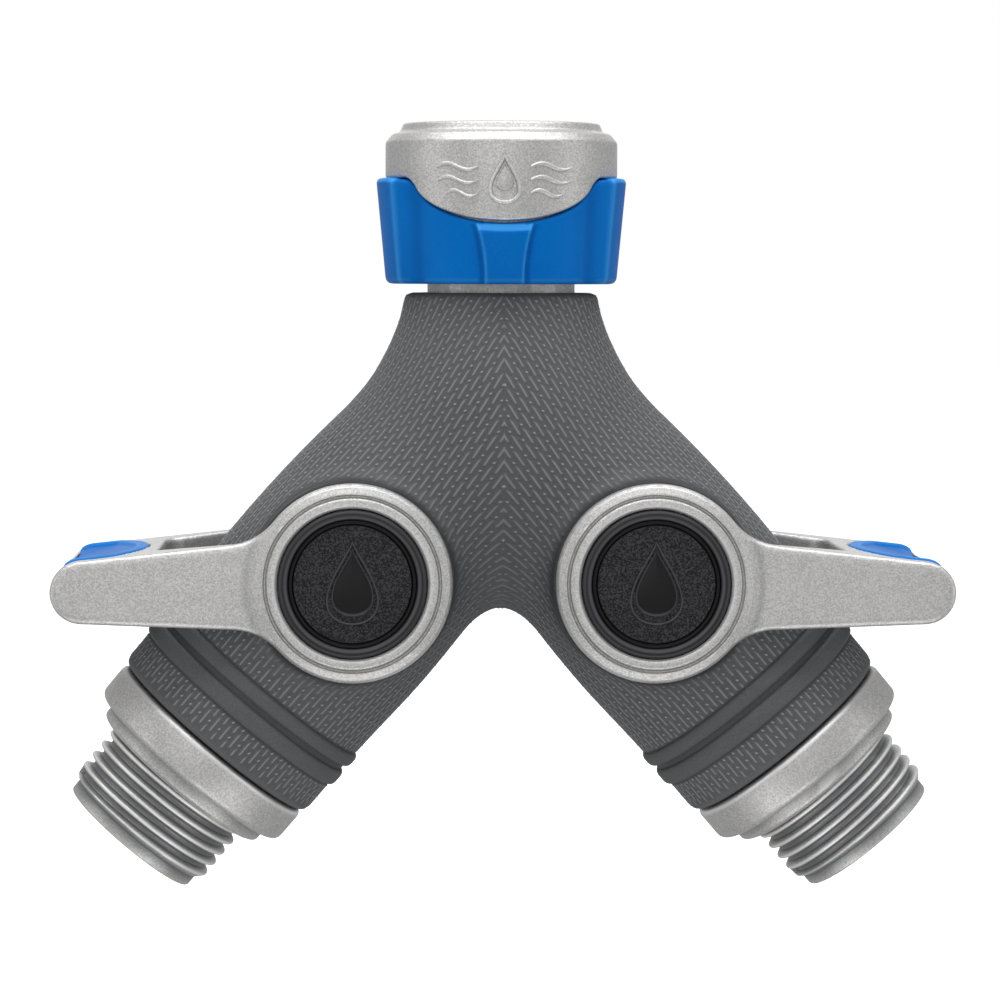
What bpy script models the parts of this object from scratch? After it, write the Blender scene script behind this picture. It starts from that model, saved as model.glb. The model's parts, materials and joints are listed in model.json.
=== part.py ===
"""Two-way garden hose splitter.

A swivel nut feeds a rubber-skinned Y body. Each leg holds a ball valve, turned by a lever that
straddles the leg, and ends in a male hose thread.

Frame: origin at the centre of the nut's mouth, +Z up along the inlet, +X to the right leg,
-Y to the front. Dimensions below are millimetres and become metres when a mesh is made.
"""
import math

import bmesh
import bpy
import numpy as np

MM = 0.001

# Overall layout
JUNCTION_DEPTH = 44.6        # nut mouth down to the point where the leg axes meet
LEG_ANGLE = 40.25            # each leg's axis from straight down, degrees
HUB_REACH = 36.9             # junction to valve centre, along a leg
LEVER_DROOP = 2.0            # lever tip below horizontal at rest, degrees
FIT_GAP = 0.3                # clearance between pieces that touch on the real object

# Hose thread, 3/4-11.5 NH
THREAD_CREST = 13.4
THREAD_ROOT = 12.2
THREAD_PITCH = 2.209
THREAD_TURNS = 3.75
SOCKET_RADIUS = 13.7         # inside of the nut, clear of a male crest

# Body skin. Heights are above the junction, stations are along a leg from the valve centre.
NECK_RADIUS = 15.2
SKIN_TOP = 17.4
SKIN_END = 34.6
SKIN_WALL = 2.1
SKIN_GAP = 0.8               # skin to housing, wide enough for both to be faceted
NECK_BLEND = 7.0             # rounding where the neck meets the legs
CROTCH_BLEND = 10.5          # rounding where the legs meet
WAIST_RADIUS = 15.6          # leg radius at the junction
BELLY_RADIUS = 19.7          # leg radius at its widest
BELLY_REACH = 42.0           # junction to the widest section
LEG_END_RADIUS = 18.85
BELLY_FALL = 13.0            # how quickly the belly tapers to the leg's end
BAND_STATIONS = ((22.1, 24.6), (25.5, 28.5))
BAND_HEIGHT = 0.8
END_ROUND = 0.9

# Valve hub, distances from the leg's middle plane
BOSS_FACE = 19.75
SKIN_BOSS_RADIUS = 16.2
METAL_BOSS_RADIUS = 12.5
LEVER_INNER = 20.1
LEVER_WEB = 21.4             # floor of the cap recess
LEVER_OUTER = 23.5

# Ball valve
BALL_RADIUS = 9.0
BALL_BORE = 5.5
CHAMBER_RADIUS = 11.1
CHAMBER_BACK = -9.3
STEM_RADIUS = 4.3
SQUARE_DRIVE = 6.0
PIVOT_RADIUS = 4.8

# Lever, measured from the hub centre
HUB_RADIUS = 15.75
CAP_RADIUS = 11.7
LEVER_LENGTH = 47.5
TIP_RADIUS = 4.95
FILLET_RADIUS = 10.0
ARM_HEIGHT_AT_HUB = 8.1      # half height of the arm's straight run, carried back to the hub
ARM_TAPER = 0.074
SLOT_END = 30.9
TIP_CORNER = 1.3
PAD_START = 32.9             # thumb pad, nearest to the hub
PAD_END = 45.4
PAD_BOW_RADIUS = 38.0        # its edge toward the hub
PAD_HALF_WIDTH = 18.9
PAD_CORNER = 2.5

# Swivel nut and grip, heights above the junction
NUT_RIM_RADIUS = 16.1
NUT_RADIUS = 18.7
NUT_BARREL_RADIUS = 16.4
NUT_BOTTOM = 19.9
NUT_FLOOR = 22.9
APRON_LOW = 28.8
APRON_HIGH = 35.7
APRON_SPREAD = 62.0          # half angle of the apron, degrees
GRIP_BOTTOM = 18.8
GRIP_TOP_RADIUS = 18.7
GRIP_FOOT_RADIUS = 18.0
WING_HALF_ANGLE = 17.0
WING_TOP_RADIUS = 20.2
WING_FOOT_RADIUS = 19.05
LUG_HALF_ANGLE = 11.5
LUG_HEIGHT = 1.0

# Colours, linear
SILVER = (0.52, 0.52, 0.52)
RUBBER_GREY = (0.10, 0.10, 0.105)
GRIP_BLUE = (0.003, 0.11, 0.45)
RUBBER_BLACK = (0.012, 0.012, 0.013)
SEAL_BLACK = (0.02, 0.02, 0.02)
SEAT_WHITE = (0.75, 0.75, 0.72)
STEEL = (0.45, 0.45, 0.44)
BRASS = (0.55, 0.36, 0.12)


def clear_scene():
    for item in list(bpy.data.objects):
        bpy.data.objects.remove(item, do_unlink=True)


def make_material(name, colour, roughness, metallic):
    material = bpy.data.materials.new(name)
    material.use_nodes = True
    shader = material.node_tree.nodes["Principled BSDF"]
    shader.inputs["Base Color"].default_value = (*colour, 1.0)
    shader.inputs["Roughness"].default_value = roughness
    shader.inputs["Metallic"].default_value = metallic
    material.diffuse_color = (*colour, 1.0)
    return material


def make_object(name, shape, material, parent=None, tilt=(0.0, 0.0, 0.0)):
    """Make an object from (vertices in mm, faces), with outward faces and smooth shading."""
    vertices, faces = shape
    mesh = bpy.data.meshes.new(name)
    mesh.from_pydata([tuple(c * MM for c in vertex) for vertex in vertices], [], faces)
    work = bmesh.new()
    work.from_mesh(mesh)
    bmesh.ops.remove_doubles(work, verts=work.verts, dist=1e-7)
    bmesh.ops.recalc_face_normals(work, faces=work.faces)
    work.to_mesh(mesh)
    work.free()
    mesh.materials.append(material)
    mesh.shade_smooth()
    mesh.set_sharp_from_angle(angle=math.radians(32))
    item = bpy.data.objects.new(name, mesh)
    item.parent = parent
    item.rotation_euler = tuple(math.radians(angle) for angle in tilt)
    bpy.context.collection.objects.link(item)
    return item


def make_empty(name, location, tilt=(0.0, 0.0, 0.0)):
    item = bpy.data.objects.new(name, None)
    item.location = tuple(c * MM for c in location)
    item.rotation_euler = tuple(math.radians(angle) for angle in tilt)
    bpy.context.collection.objects.link(item)
    return item


def combine(target, tool, operation):
    """Boolean the tool into the target. The tool itself stays out of the build."""
    modifier = target.modifiers.new(tool.name, "BOOLEAN")
    modifier.operation = operation
    modifier.solver = "EXACT"
    modifier.object = tool
    tool.hide_render = True
    tool.display_type = "WIRE"


# Basic solids

def lathe(outline, segments):
    """Turn an (r, z) outline about Z. It closes on itself, or starts and ends on the axis."""
    vertices = []
    rings = []
    for radius, height in outline:
        if radius == 0.0:
            rings.append([len(vertices)])
            vertices.append((0.0, 0.0, height))
            continue
        first = len(vertices)
        for step in range(segments):
            angle = 2.0 * math.pi * step / segments
            vertices.append((radius * math.cos(angle), radius * math.sin(angle), height))
        rings.append(list(range(first, first + segments)))
    pairs = list(zip(rings, rings[1:]))
    if outline[0][0] > 0.0:
        pairs.append((rings[-1], rings[0]))
    faces = []
    for lower, upper in pairs:
        for step in range(segments):
            ahead = (step + 1) % segments
            corners = [lower[step % len(lower)], lower[ahead % len(lower)],
                       upper[ahead % len(upper)], upper[step % len(upper)]]
            faces.append(tuple(dict.fromkeys(corners)))
    return vertices, faces


def disc(radius, low, high, segments=32):
    return lathe([(0.0, low), (radius, low), (radius, high), (0.0, high)], segments)


def ring(inner, outer, low, high, segments=32):
    return lathe([(inner, low), (outer, low), (outer, high), (inner, high)], segments)


def torus(middle, thickness, height, segments=18, sides=6):
    outline = []
    for step in range(sides):
        angle = 2.0 * math.pi * step / sides
        outline.append((middle + thickness * math.cos(angle), height + thickness * math.sin(angle)))
    return lathe(outline, segments)


def prism(outline, low, high, axis):
    """Extrude a 2-D outline along Y or Z. Its points are (x, z) or (x, y)."""
    vertices = []
    for level in (low, high):
        for a, b in outline:
            vertices.append((a, level, b) if axis == "Y" else (a, b, level))
    count = len(outline)
    faces = [tuple(range(count)), tuple(range(count, 2 * count))]
    for step in range(count):
        ahead = (step + 1) % count
        faces.append((step, ahead, count + ahead, count + step))
    return vertices, faces


def arc(centre, radius, start, stop, steps):
    """Points on an arc, angles in degrees, both ends included."""
    points = []
    for step in range(steps + 1):
        angle = math.radians(start + (stop - start) * step / steps)
        points.append((centre[0] + radius * math.cos(angle), centre[1] + radius * math.sin(angle)))
    return points


def rectangle(low_a, high_a, low_b, high_b):
    return [(low_a, low_b), (high_a, low_b), (high_a, high_b), (low_a, high_b)]


def square(size):
    return rectangle(-size / 2, size / 2, -size / 2, size / 2)


def toward_front(side):
    """Tilt that turns local +Z to the front (side -1) or to the back (side +1)."""
    return (-90.0 * side, 0.0, 0.0)


# The Y body's form: a smooth union of a neck and two swelling legs

LEG_SINE = math.sin(math.radians(LEG_ANGLE))
LEG_COSINE = math.cos(math.radians(LEG_ANGLE))


def leg_radius(reach):
    """Leg radius at a distance from the junction."""
    rise = BELLY_RADIUS - (BELLY_RADIUS - WAIST_RADIUS) * (reach / BELLY_REACH - 1.0) ** 2
    fall_shape = np.exp(-((reach - BELLY_REACH) / BELLY_FALL) ** 2)
    fall = LEG_END_RADIUS + (BELLY_RADIUS - LEG_END_RADIUS) * fall_shape
    return np.where(reach < BELLY_REACH, rise, fall)


def limb_distance(points, direction, radius):
    """Distance to a limb that starts at the junction and runs along direction."""
    reach = np.maximum(points @ direction, 0.0)
    offset = points - reach[:, None] * direction
    return np.linalg.norm(offset, axis=1) - radius(reach)


def smooth_join(first, second, width):
    closeness = np.maximum(width - np.abs(first - second), 0.0) / width
    return np.minimum(first, second) - closeness ** 2 * width / 4.0


def body_distance(points):
    right = limb_distance(points, np.array([LEG_SINE, 0.0, -LEG_COSINE]), leg_radius)
    left = limb_distance(points, np.array([-LEG_SINE, 0.0, -LEG_COSINE]), leg_radius)
    neck = limb_distance(points, np.array([0.0, 0.0, 1.0]), lambda reach: NECK_RADIUS)
    return smooth_join(smooth_join(left, right, CROTCH_BLEND), neck, NECK_BLEND)


def reach_surface(origins, directions, inset):
    """Where each ray from inside the body meets the surface that lies inset below the skin."""
    near = np.zeros(len(directions))
    far = np.full(len(directions), 60.0)
    for _ in range(40):
        middle = (near + far) / 2.0
        inside = body_distance(origins + middle[:, None] * directions) + inset < 0.0
        near = np.where(inside, middle, near)
        far = np.where(inside, far, middle)
    return origins + near[:, None] * directions


def unit(vectors):
    return vectors / np.linalg.norm(vectors, axis=1)[:, None]


def first_loop(inset, top, arc_columns, seam_columns):
    """Half of the neck's rim, then down the back of the middle plane and up its front."""
    around = np.radians(np.linspace(-90.0, 90.0, 2 * arc_columns + 1))
    rim_rays = np.stack([np.cos(around), np.sin(around), np.zeros_like(around)], axis=1)
    rim_origin = np.tile([0.0, 0.0, top], (len(rim_rays), 1))
    rim = reach_surface(rim_origin, rim_rays, inset)
    corner = math.degrees(math.atan2(top, NECK_RADIUS - inset))
    sweep = np.radians(np.linspace(corner, -180.0 - corner, 2 * seam_columns + 1)[1:-1])
    seam_rays = np.stack([np.zeros_like(sweep), np.cos(sweep), np.sin(sweep)], axis=1)
    seam = reach_surface(np.zeros((len(seam_rays), 3)), seam_rays, inset)
    return np.vstack([rim, seam])


def leg_circle(reach, radius, arc_columns, seam_columns):
    """A section square to the right leg, its points matched to those of first_loop."""
    edge = 180.0 * arc_columns / (arc_columns + seam_columns)
    upper = np.linspace(-edge, edge, 2 * arc_columns + 1)
    lower = np.linspace(edge, 360.0 - edge, 2 * seam_columns + 1)[1:-1]
    angle = np.radians(np.concatenate([upper, lower]))
    outward = np.array([LEG_COSINE, 0.0, LEG_SINE])
    centre = reach * np.array([LEG_SINE, 0.0, -LEG_COSINE])
    ring_points = np.cos(angle)[:, None] * outward
    ring_points[:, 1] += np.sin(angle)
    return centre + radius * ring_points


def y_solid(inset, top, stations, arc_columns=4, seam_columns=8, rings=8):
    """The closed Y body, inset below the skin. Stations are (station, radius) along each leg."""
    start = first_loop(inset, top, arc_columns, seam_columns)
    first_reach = HUB_REACH + stations[0][0]
    finish = leg_circle(first_reach, stations[0][1], arc_columns, seam_columns)
    loops = [start]
    for step in range(1, rings):
        share = step / rings
        origin = share * first_reach * np.array([LEG_SINE, 0.0, -LEG_COSINE])
        rays = unit((1.0 - share) * start + share * finish - origin)
        loops.append(reach_surface(np.tile(origin, (len(rays), 1)), rays, inset))
    for station, radius in stations:
        loops.append(leg_circle(HUB_REACH + station, radius, arc_columns, seam_columns))
    columns = len(start)
    right = np.vstack(loops)
    left = right * np.array([-1.0, 1.0, 1.0])
    faces = []
    for base in (0, len(right)):
        for row in range(len(loops) - 1):
            for column in range(columns):
                ahead = (column + 1) % columns
                low = base + row * columns
                faces.append((low + column, low + ahead,
                              low + columns + ahead, low + columns + column))
        last = base + (len(loops) - 1) * columns
        faces.append(tuple(range(last, last + columns)))
    rim = 2 * arc_columns + 1
    left_rim = [len(right) + column for column in range(rim - 2, 0, -1)]
    faces.append(tuple(range(rim)) + tuple(left_rim))
    vertices = [tuple(point) for point in np.vstack([right, left])]
    return weld(vertices, faces)


def weld(vertices, faces):
    """Share the vertices that the two halves have in common."""
    index = {}
    merged = []
    lookup = []
    for vertex in vertices:
        key = tuple(round(c, 5) + 0.0 for c in vertex)
        if key not in index:
            index[key] = len(merged)
            merged.append(vertex)
        lookup.append(index[key])
    return merged, [tuple(lookup[corner] for corner in face) for face in faces]


def straight_leg(inset, end):
    """Plain stations for an inner surface of the body."""
    stations = []
    for station in (16.0, 26.0, end):
        radius = float(leg_radius(np.array([HUB_REACH + station]))[0]) - inset
        stations.append((station, radius))
    return stations


def banded_leg():
    """Stations for the skin: two raised bands and a rounded end."""
    def radius(station):
        return float(leg_radius(np.array([HUB_REACH + station]))[0])

    stations = [(16.0, radius(16.0))]
    for low, high in BAND_STATIONS:
        stations.append((low, radius(low)))
        stations.append((low + 0.5, radius(low) + BAND_HEIGHT))
        stations.append((high - 0.5, radius(high) + BAND_HEIGHT))
        stations.append((high, radius(high)))
    stations.append((SKIN_END - END_ROUND, radius(SKIN_END)))
    stations.append((SKIN_END, radius(SKIN_END) - END_ROUND))
    return stations


# Body

def build_body(materials, junction, hubs, legs):
    metal_inset = SKIN_WALL + SKIN_GAP
    sleeve = make_object("body_sleeve", y_solid(0.0, SKIN_TOP, banded_leg()),
                         materials["rubber_grey"], junction)
    core = make_object("cut_skin_core", y_solid(SKIN_WALL, SKIN_TOP - FIT_GAP,
                                                straight_leg(SKIN_WALL, SKIN_END + 0.5), 4, 7, 7),
                       materials["silver"], junction)
    housing = make_object("body_housing", y_solid(metal_inset, SKIN_TOP - FIT_GAP,
                                                  straight_leg(metal_inset, SKIN_END), 4, 7, 7),
                          materials["silver"], junction)
    for name, hub in hubs.items():
        boss = make_object(f"add_{name}_skin_boss",
                           prism(circle(SKIN_BOSS_RADIUS, 28), -BOSS_FACE, BOSS_FACE, "Y"),
                           materials["rubber_grey"], hub)
        combine(sleeve, boss, "UNION")
    combine(sleeve, core, "DIFFERENCE")
    mouth = make_object("cut_skin_mouth", disc(NECK_RADIUS - SKIN_WALL, SKIN_TOP - 1.0,
                                               SKIN_TOP + 2.0), materials["silver"], junction)
    combine(sleeve, mouth, "DIFFERENCE")
    neck = make_object("add_neck", disc(11.9, 4.0, NUT_BOTTOM - 0.5), materials["silver"], junction)
    combine(housing, neck, "UNION")
    for name, hub in hubs.items():
        hole = make_object(f"cut_{name}_skin_hole",
                           prism(circle(METAL_BOSS_RADIUS + FIT_GAP, 20), -25.0, 25.0, "Y"),
                           materials["rubber_grey"], hub)
        combine(sleeve, hole, "DIFFERENCE")
        metal = make_object(f"add_{name}_metal_boss",
                            prism(circle(METAL_BOSS_RADIUS, 20), -BOSS_FACE, BOSS_FACE, "Y"),
                            materials["silver"], hub)
        combine(housing, metal, "UNION")
    cut_waterways(housing, materials["silver"], junction, hubs, legs)


def circle(radius, steps):
    return arc((0.0, 0.0), radius, 0.0, 360.0, steps)[:-1]


def cut_waterways(housing, material, junction, hubs, legs):
    """Inlet bore, a stepped bore down each leg, and the stem and pivot holes."""
    inlet = make_object("cut_inlet", lathe([(0.0, -4.0), (7.2, -4.0), (7.2, 6.0), (9.6, 6.0),
                                            (9.6, 25.0), (0.0, 25.0)], 24), material, junction)
    combine(housing, inlet, "DIFFERENCE")
    for name, leg in legs.items():
        bore = make_object(f"cut_{name}_bore",
                           lathe([(0.0, -HUB_REACH + 1.0), (6.4, -HUB_REACH + 1.0),
                                  (6.4, CHAMBER_BACK), (CHAMBER_RADIUS, CHAMBER_BACK),
                                  (CHAMBER_RADIUS, 40.0), (0.0, 40.0)], 24), material, leg)
        combine(housing, bore, "DIFFERENCE")
        stem_hole = make_object(f"cut_{name}_stem_hole",
                                lathe([(0.0, 8.0), (5.5, 8.0), (5.5, 12.1), (4.6, 12.1),
                                       (4.6, 25.0), (0.0, 25.0)], 16),
                                material, hubs[name], toward_front(-1))
        combine(housing, stem_hole, "DIFFERENCE")
        pivot_hole = make_object(f"cut_{name}_pivot_hole", disc(4.6, 12.5, 25.0, 16),
                                 material, hubs[name], toward_front(1))
        combine(housing, pivot_hole, "DIFFERENCE")


# Swivel inlet

def apron_edge(angle):
    """Height of the nut's lower edge at an angle from the front or the back, degrees."""
    if abs(angle) > APRON_SPREAD:
        return APRON_HIGH
    dip = math.cos(math.radians(90.0 * angle / APRON_SPREAD))
    return APRON_HIGH - (APRON_HIGH - APRON_LOW) * dip


def from_face(turn):
    """Smallest angle between a direction (0 = +X) and the front or the back."""
    return abs((turn % 180.0) - 90.0)


def shaped_lathe(profile_at, turns):
    """A closed ring whose (r, z) profile changes with the direction."""
    vertices = []
    for turn in turns:
        angle = math.radians(turn)
        for radius, height in profile_at(turn):
            vertices.append((radius * math.cos(angle), radius * math.sin(angle), height))
    rows = len(vertices) // len(turns)
    faces = []
    for step in range(len(turns)):
        ahead = (step + 1) % len(turns)
        for row in range(rows):
            above = (row + 1) % rows
            faces.append((step * rows + row, ahead * rows + row,
                          ahead * rows + above, step * rows + above))
    return vertices, faces


def nut_profile(turn):
    edge = apron_edge(from_face(turn))
    return [(14.3, JUNCTION_DEPTH), (15.7, JUNCTION_DEPTH), (NUT_RIM_RADIUS, 44.1),
            (NUT_RIM_RADIUS, 42.8), (17.6, 42.6), (18.4, 42.1), (NUT_RADIUS, 41.2),
            (NUT_RADIUS, edge), (NUT_BARREL_RADIUS, edge), (NUT_BARREL_RADIUS, NUT_BOTTOM),
            (9.6, NUT_BOTTOM), (9.6, NUT_FLOOR), (SOCKET_RADIUS, NUT_FLOOR),
            (SOCKET_RADIUS, 44.0)]


def grip_radius(turn, height):
    """Outside of the grip: a tapered band with side wings and a small front and back lug."""
    share = (height - GRIP_BOTTOM) / (APRON_HIGH - GRIP_BOTTOM)
    off_face = from_face(turn)
    if 90.0 - off_face <= WING_HALF_ANGLE:
        return WING_FOOT_RADIUS + (WING_TOP_RADIUS - WING_FOOT_RADIUS) * share
    band = GRIP_FOOT_RADIUS + (GRIP_TOP_RADIUS - GRIP_FOOT_RADIUS) * share
    if off_face <= LUG_HALF_ANGLE:
        return band + LUG_HEIGHT
    return band


def grip_profile(turn):
    top = apron_edge(from_face(turn)) - FIT_GAP
    low = GRIP_BOTTOM
    middle = (top + low) / 2.0
    inner = NUT_BARREL_RADIUS + FIT_GAP
    return [(inner, low), (grip_radius(turn, low) - 0.6, low), (grip_radius(turn, low), low + 0.6),
            (grip_radius(turn, middle), middle), (grip_radius(turn, top), top), (inner, top)]


def swivel_turns():
    """Directions around the nut and grip, with pairs at the edges of the wings and lugs."""
    quarter = [0.0, WING_HALF_ANGLE * 0.5, WING_HALF_ANGLE, WING_HALF_ANGLE + 3.0,
               90.0 - APRON_SPREAD, 40.0, 52.0, 64.0, 90.0 - LUG_HALF_ANGLE - 3.0,
               90.0 - LUG_HALF_ANGLE]
    half = quarter + [90.0] + [180.0 - turn for turn in reversed(quarter[1:])]
    return half + [180.0 + turn for turn in half]


def build_swivel(materials, junction):
    turns = swivel_turns()
    make_object("swivel_nut", shaped_lathe(nut_profile, turns), materials["silver"], junction)
    make_object("swivel_grip", shaped_lathe(grip_profile, turns), materials["grip_blue"], junction)
    make_object("inlet_washer", ring(7.9, 13.2, 25.5, 28.3, 24), materials["seal_black"], junction)
    tailpiece = [(6.8, 7.0), (9.3, 7.0), (9.3, 12.0), (7.9, 12.0), (7.9, 14.0), (9.3, 14.0),
                 (9.3, 23.2), (12.9, 23.2), (12.9, 25.2), (6.8, 25.2)]
    make_object("inlet_tailpiece", lathe(tailpiece, 24), materials["brass"], junction)
    make_object("tailpiece_o_ring", torus(8.75, 0.55, 13.0), materials["seal_black"], junction)


# Outlets

def threaded_fitting(before, after, start, segments):
    """Turn an outline that has a helical thread between its two parts.

    Each turn of the thread has four rows: root, crest, crest, root. The crest fades in and out
    over the first and last third of a turn.
    """
    shares = (0.0, 0.34, 0.56, 0.90)
    rows = int(THREAD_TURNS * 4)
    vertices = []
    faces = []

    def add_ring(radius, height):
        first = len(vertices)
        for step in range(segments):
            angle = 2.0 * math.pi * step / segments
            vertices.append((radius * math.cos(angle), radius * math.sin(angle), height))
        return [first + step % segments for step in range(segments + 1)]

    def add_band(lower, upper):
        for step in range(segments):
            faces.append((lower[step], lower[step + 1], upper[step + 1], upper[step]))

    def thread_point(row, step):
        turn = row // 4 + shares[row % 4] + step / segments
        fade = min(1.0, 3.0 * turn, 3.0 * (THREAD_TURNS + 0.9 - turn))
        crest = THREAD_CREST if row % 4 in (1, 2) else THREAD_ROOT
        radius = THREAD_ROOT + (crest - THREAD_ROOT) * max(0.0, fade)
        angle = 2.0 * math.pi * step / segments
        vertices.append((radius * math.cos(angle), radius * math.sin(angle),
                         start + THREAD_PITCH * turn))
        return len(vertices) - 1

    lower_rings = [add_ring(*point) for point in before]
    upper_rings = [add_ring(*point) for point in after]
    for loops in (lower_rings, upper_rings):
        for first, second in zip(loops, loops[1:]):
            add_band(first, second)
    add_band(upper_rings[-1], lower_rings[0])
    helix = [[thread_point(row, step) for step in range(segments)] for row in range(rows)]
    for row in range(rows):
        beyond = helix[row + 4][0] if row + 4 < rows else thread_point(row, segments)
        helix[row].append(beyond)
    for lower, upper in zip(helix, helix[1:]):
        add_band(lower, upper)
    base = lower_rings[-1]
    lip = upper_rings[0]
    for step in range(segments - 1):
        faces.append((base[step], base[step + 1], helix[0][step + 1], helix[0][step]))
        faces.append((helix[-1][step + 1], helix[-1][step + 2], lip[step + 2], lip[step + 1]))
    entry = [helix[row][0] for row in range(5)]
    faces.append((base[segments - 1], base[segments], *entry, helix[0][segments - 1]))
    runout = [helix[row][segments] for row in range(rows - 4, rows)]
    faces.append((helix[-1][0], helix[-1][1], lip[1], lip[0], *reversed(runout)))
    return vertices, faces


def build_outlet(name, materials, leg):
    before = [(7.5, 9.6), (10.8, 9.6), (10.8, 28.6), (9.1, 28.6), (9.1, 30.6), (10.8, 30.6),
              (10.8, 35.0), (18.2, 35.0), (18.6, 35.6), (18.6, 40.2), (17.9, 41.1),
              (16.0, 41.5), (16.0, 43.2), (15.4, 43.7), (THREAD_ROOT, 43.9)]
    after = [(THREAD_ROOT, 55.3), (11.9, 56.2), (10.1, 56.2), (10.1, 40.4), (7.5, 36.9)]
    make_object(f"{name}_outlet_fitting", threaded_fitting(before, after, 44.1, 22),
                materials["silver"], leg)
    make_object(f"{name}_fitting_o_ring", torus(10.1, 0.65, 29.6), materials["seal_black"], leg)
    for place, direction in (("inner", -1.0), ("outer", 1.0)):
        seat = [(7.5, 5.5), (10.8, 5.5), (10.8, 9.0), (6.2, 9.0)]
        outline = [(radius, direction * station) for radius, station in seat]
        make_object(f"{name}_{place}_seat", lathe(outline, 24), materials["seat_white"], leg)


# Valves

def build_valve(name, materials, hub, leg):
    flat = math.degrees(math.acos(BALL_BORE / BALL_RADIUS))
    ball = make_object(f"{name}_valve_ball",
                       lathe(arc((0.0, 0.0), BALL_RADIUS, -flat, flat, 8), 24),
                       materials["steel"], leg)
    slot = make_object(f"cut_{name}_ball_slot",
                       prism(rectangle(-7.0, 7.0, -1.6, 1.6), -10.0, -6.5, "Y"),
                       materials["steel"], leg)
    combine(ball, slot, "DIFFERENCE")
    stem = make_object(f"{name}_valve_stem",
                       lathe([(1.8, 9.6), (5.1, 9.6), (5.1, 11.7), (STEM_RADIUS, 11.7),
                              (STEM_RADIUS, 14.4), (2.9, 14.4), (2.9, 16.2), (STEM_RADIUS, 16.2),
                              (STEM_RADIUS, 19.9), (1.8, 19.9)], 16),
                       materials["brass"], hub, toward_front(-1))
    drive = make_object(f"add_{name}_drive", prism(square(SQUARE_DRIVE), -21.3, -19.5, "Y"),
                        materials["brass"], hub)
    tang = make_object(f"add_{name}_tang", prism(rectangle(-4.4, 4.4, -1.3, 1.3), -10.2, -6.8, "Y"),
                       materials["brass"], leg)
    screw_hole = make_object(f"cut_{name}_screw_hole", disc(1.8, 12.6, 25.0, 12),
                             materials["brass"], hub, toward_front(-1))
    combine(stem, drive, "UNION")
    combine(stem, tang, "UNION")
    combine(stem, screw_hole, "DIFFERENCE")
    make_object(f"{name}_stem_o_ring", torus(3.75, 0.5, 15.3, 16), materials["seal_black"],
                hub, toward_front(-1))
    front_screw = [(0.0, 13.2), (1.5, 13.2), (1.5, 21.7), (5.2, 21.7), (5.2, 22.4), (4.6, 22.7),
                   (0.0, 22.7)]
    make_object(f"{name}_front_screw", lathe(front_screw, 16), materials["steel"],
                hub, toward_front(-1))
    pivot = [(0.0, 12.8), (4.3, 12.8), (4.3, 20.0), (PIVOT_RADIUS, 20.0), (PIVOT_RADIUS, 21.5),
             (1.8, 21.5), (1.8, 14.0), (0.0, 14.0)]
    make_object(f"{name}_rear_pivot", lathe(pivot, 16), materials["brass"], hub, toward_front(1))
    rear_screw = [(0.0, 14.4), (1.5, 14.4), (1.5, 21.8), (6.2, 21.8), (6.2, 22.4), (5.6, 22.7),
                  (0.0, 22.7)]
    make_object(f"{name}_rear_screw", lathe(rear_screw, 16), materials["steel"],
                hub, toward_front(1))
    cap = [(10.5, 21.8), (CAP_RADIUS, 21.8), (CAP_RADIUS, 23.5), (11.3, 23.9), (10.6, 23.9),
           (10.1, 23.4), (0.0, 23.4), (0.0, 22.95), (10.5, 22.95)]
    for place, facing in (("front", -1), ("rear", 1)):
        make_object(f"{name}_{place}_cap", cap_solid(cap), materials["rubber_black"],
                    hub, toward_front(facing))


def cap_solid(outline):
    """Turn the cap's outline, which touches the axis in its middle."""
    touch = outline.index((0.0, 23.4))
    return lathe(outline[touch + 1:] + outline[:touch + 1], 24)


def lever_profile():
    """Side view of the lever, tip toward +X: hub disc, concave fillets, tapering arm, round tip."""
    slope = math.atan(ARM_TAPER)
    reach = HUB_RADIUS + FILLET_RADIUS
    rise = ARM_HEIGHT_AT_HUB + FILLET_RADIUS / math.cos(slope)
    quadratic_a = 1.0 + ARM_TAPER ** 2
    quadratic_b = -2.0 * rise * ARM_TAPER
    quadratic_c = rise ** 2 - reach ** 2
    root = math.sqrt(quadratic_b ** 2 - 4.0 * quadratic_a * quadratic_c)
    fillet_x = (-quadratic_b + root) / (2.0 * quadratic_a)
    fillet_z = rise - ARM_TAPER * fillet_x
    bearing = math.degrees(math.atan2(fillet_z, fillet_x))
    tip_x = LEVER_LENGTH - TIP_RADIUS
    hub_arc = arc((0.0, 0.0), HUB_RADIUS, bearing, 360.0 - bearing, 22)
    low_fillet = arc((fillet_x, -fillet_z), FILLET_RADIUS, 180.0 - bearing,
                     90.0 + math.degrees(slope), 4)
    tip = arc((tip_x, 0.0), TIP_RADIUS, -90.0 + math.degrees(slope), 90.0 - math.degrees(slope), 6)
    high_fillet = [(x, -z) for x, z in reversed(low_fillet)]
    return hub_arc + low_fillet[1:] + tip + high_fillet[:-1]


def lever_plan():
    """Top view of the lever: two arms joined by the thumb grip, open toward the hub."""
    corner_x = LEVER_LENGTH + 0.4 - TIP_CORNER
    corner = arc((corner_x, -22.3 + TIP_CORNER), TIP_CORNER, -90.0, 0.0, 3)
    inner = [(SLOT_END, -12.2), (SLOT_END - 0.9, -14.0), (SLOT_END - 2.6, -14.9),
             (17.4, -LEVER_INNER - 0.1), (-17.0, -LEVER_INNER - 0.1)]
    front_half = [(-17.0, -22.3), (15.0, -22.3)] + corner
    back_half = [(x, -y) for x, y in reversed(front_half)]
    slot = [(x, -y) for x, y in reversed(inner)] + inner
    return front_half + back_half + slot


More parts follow.
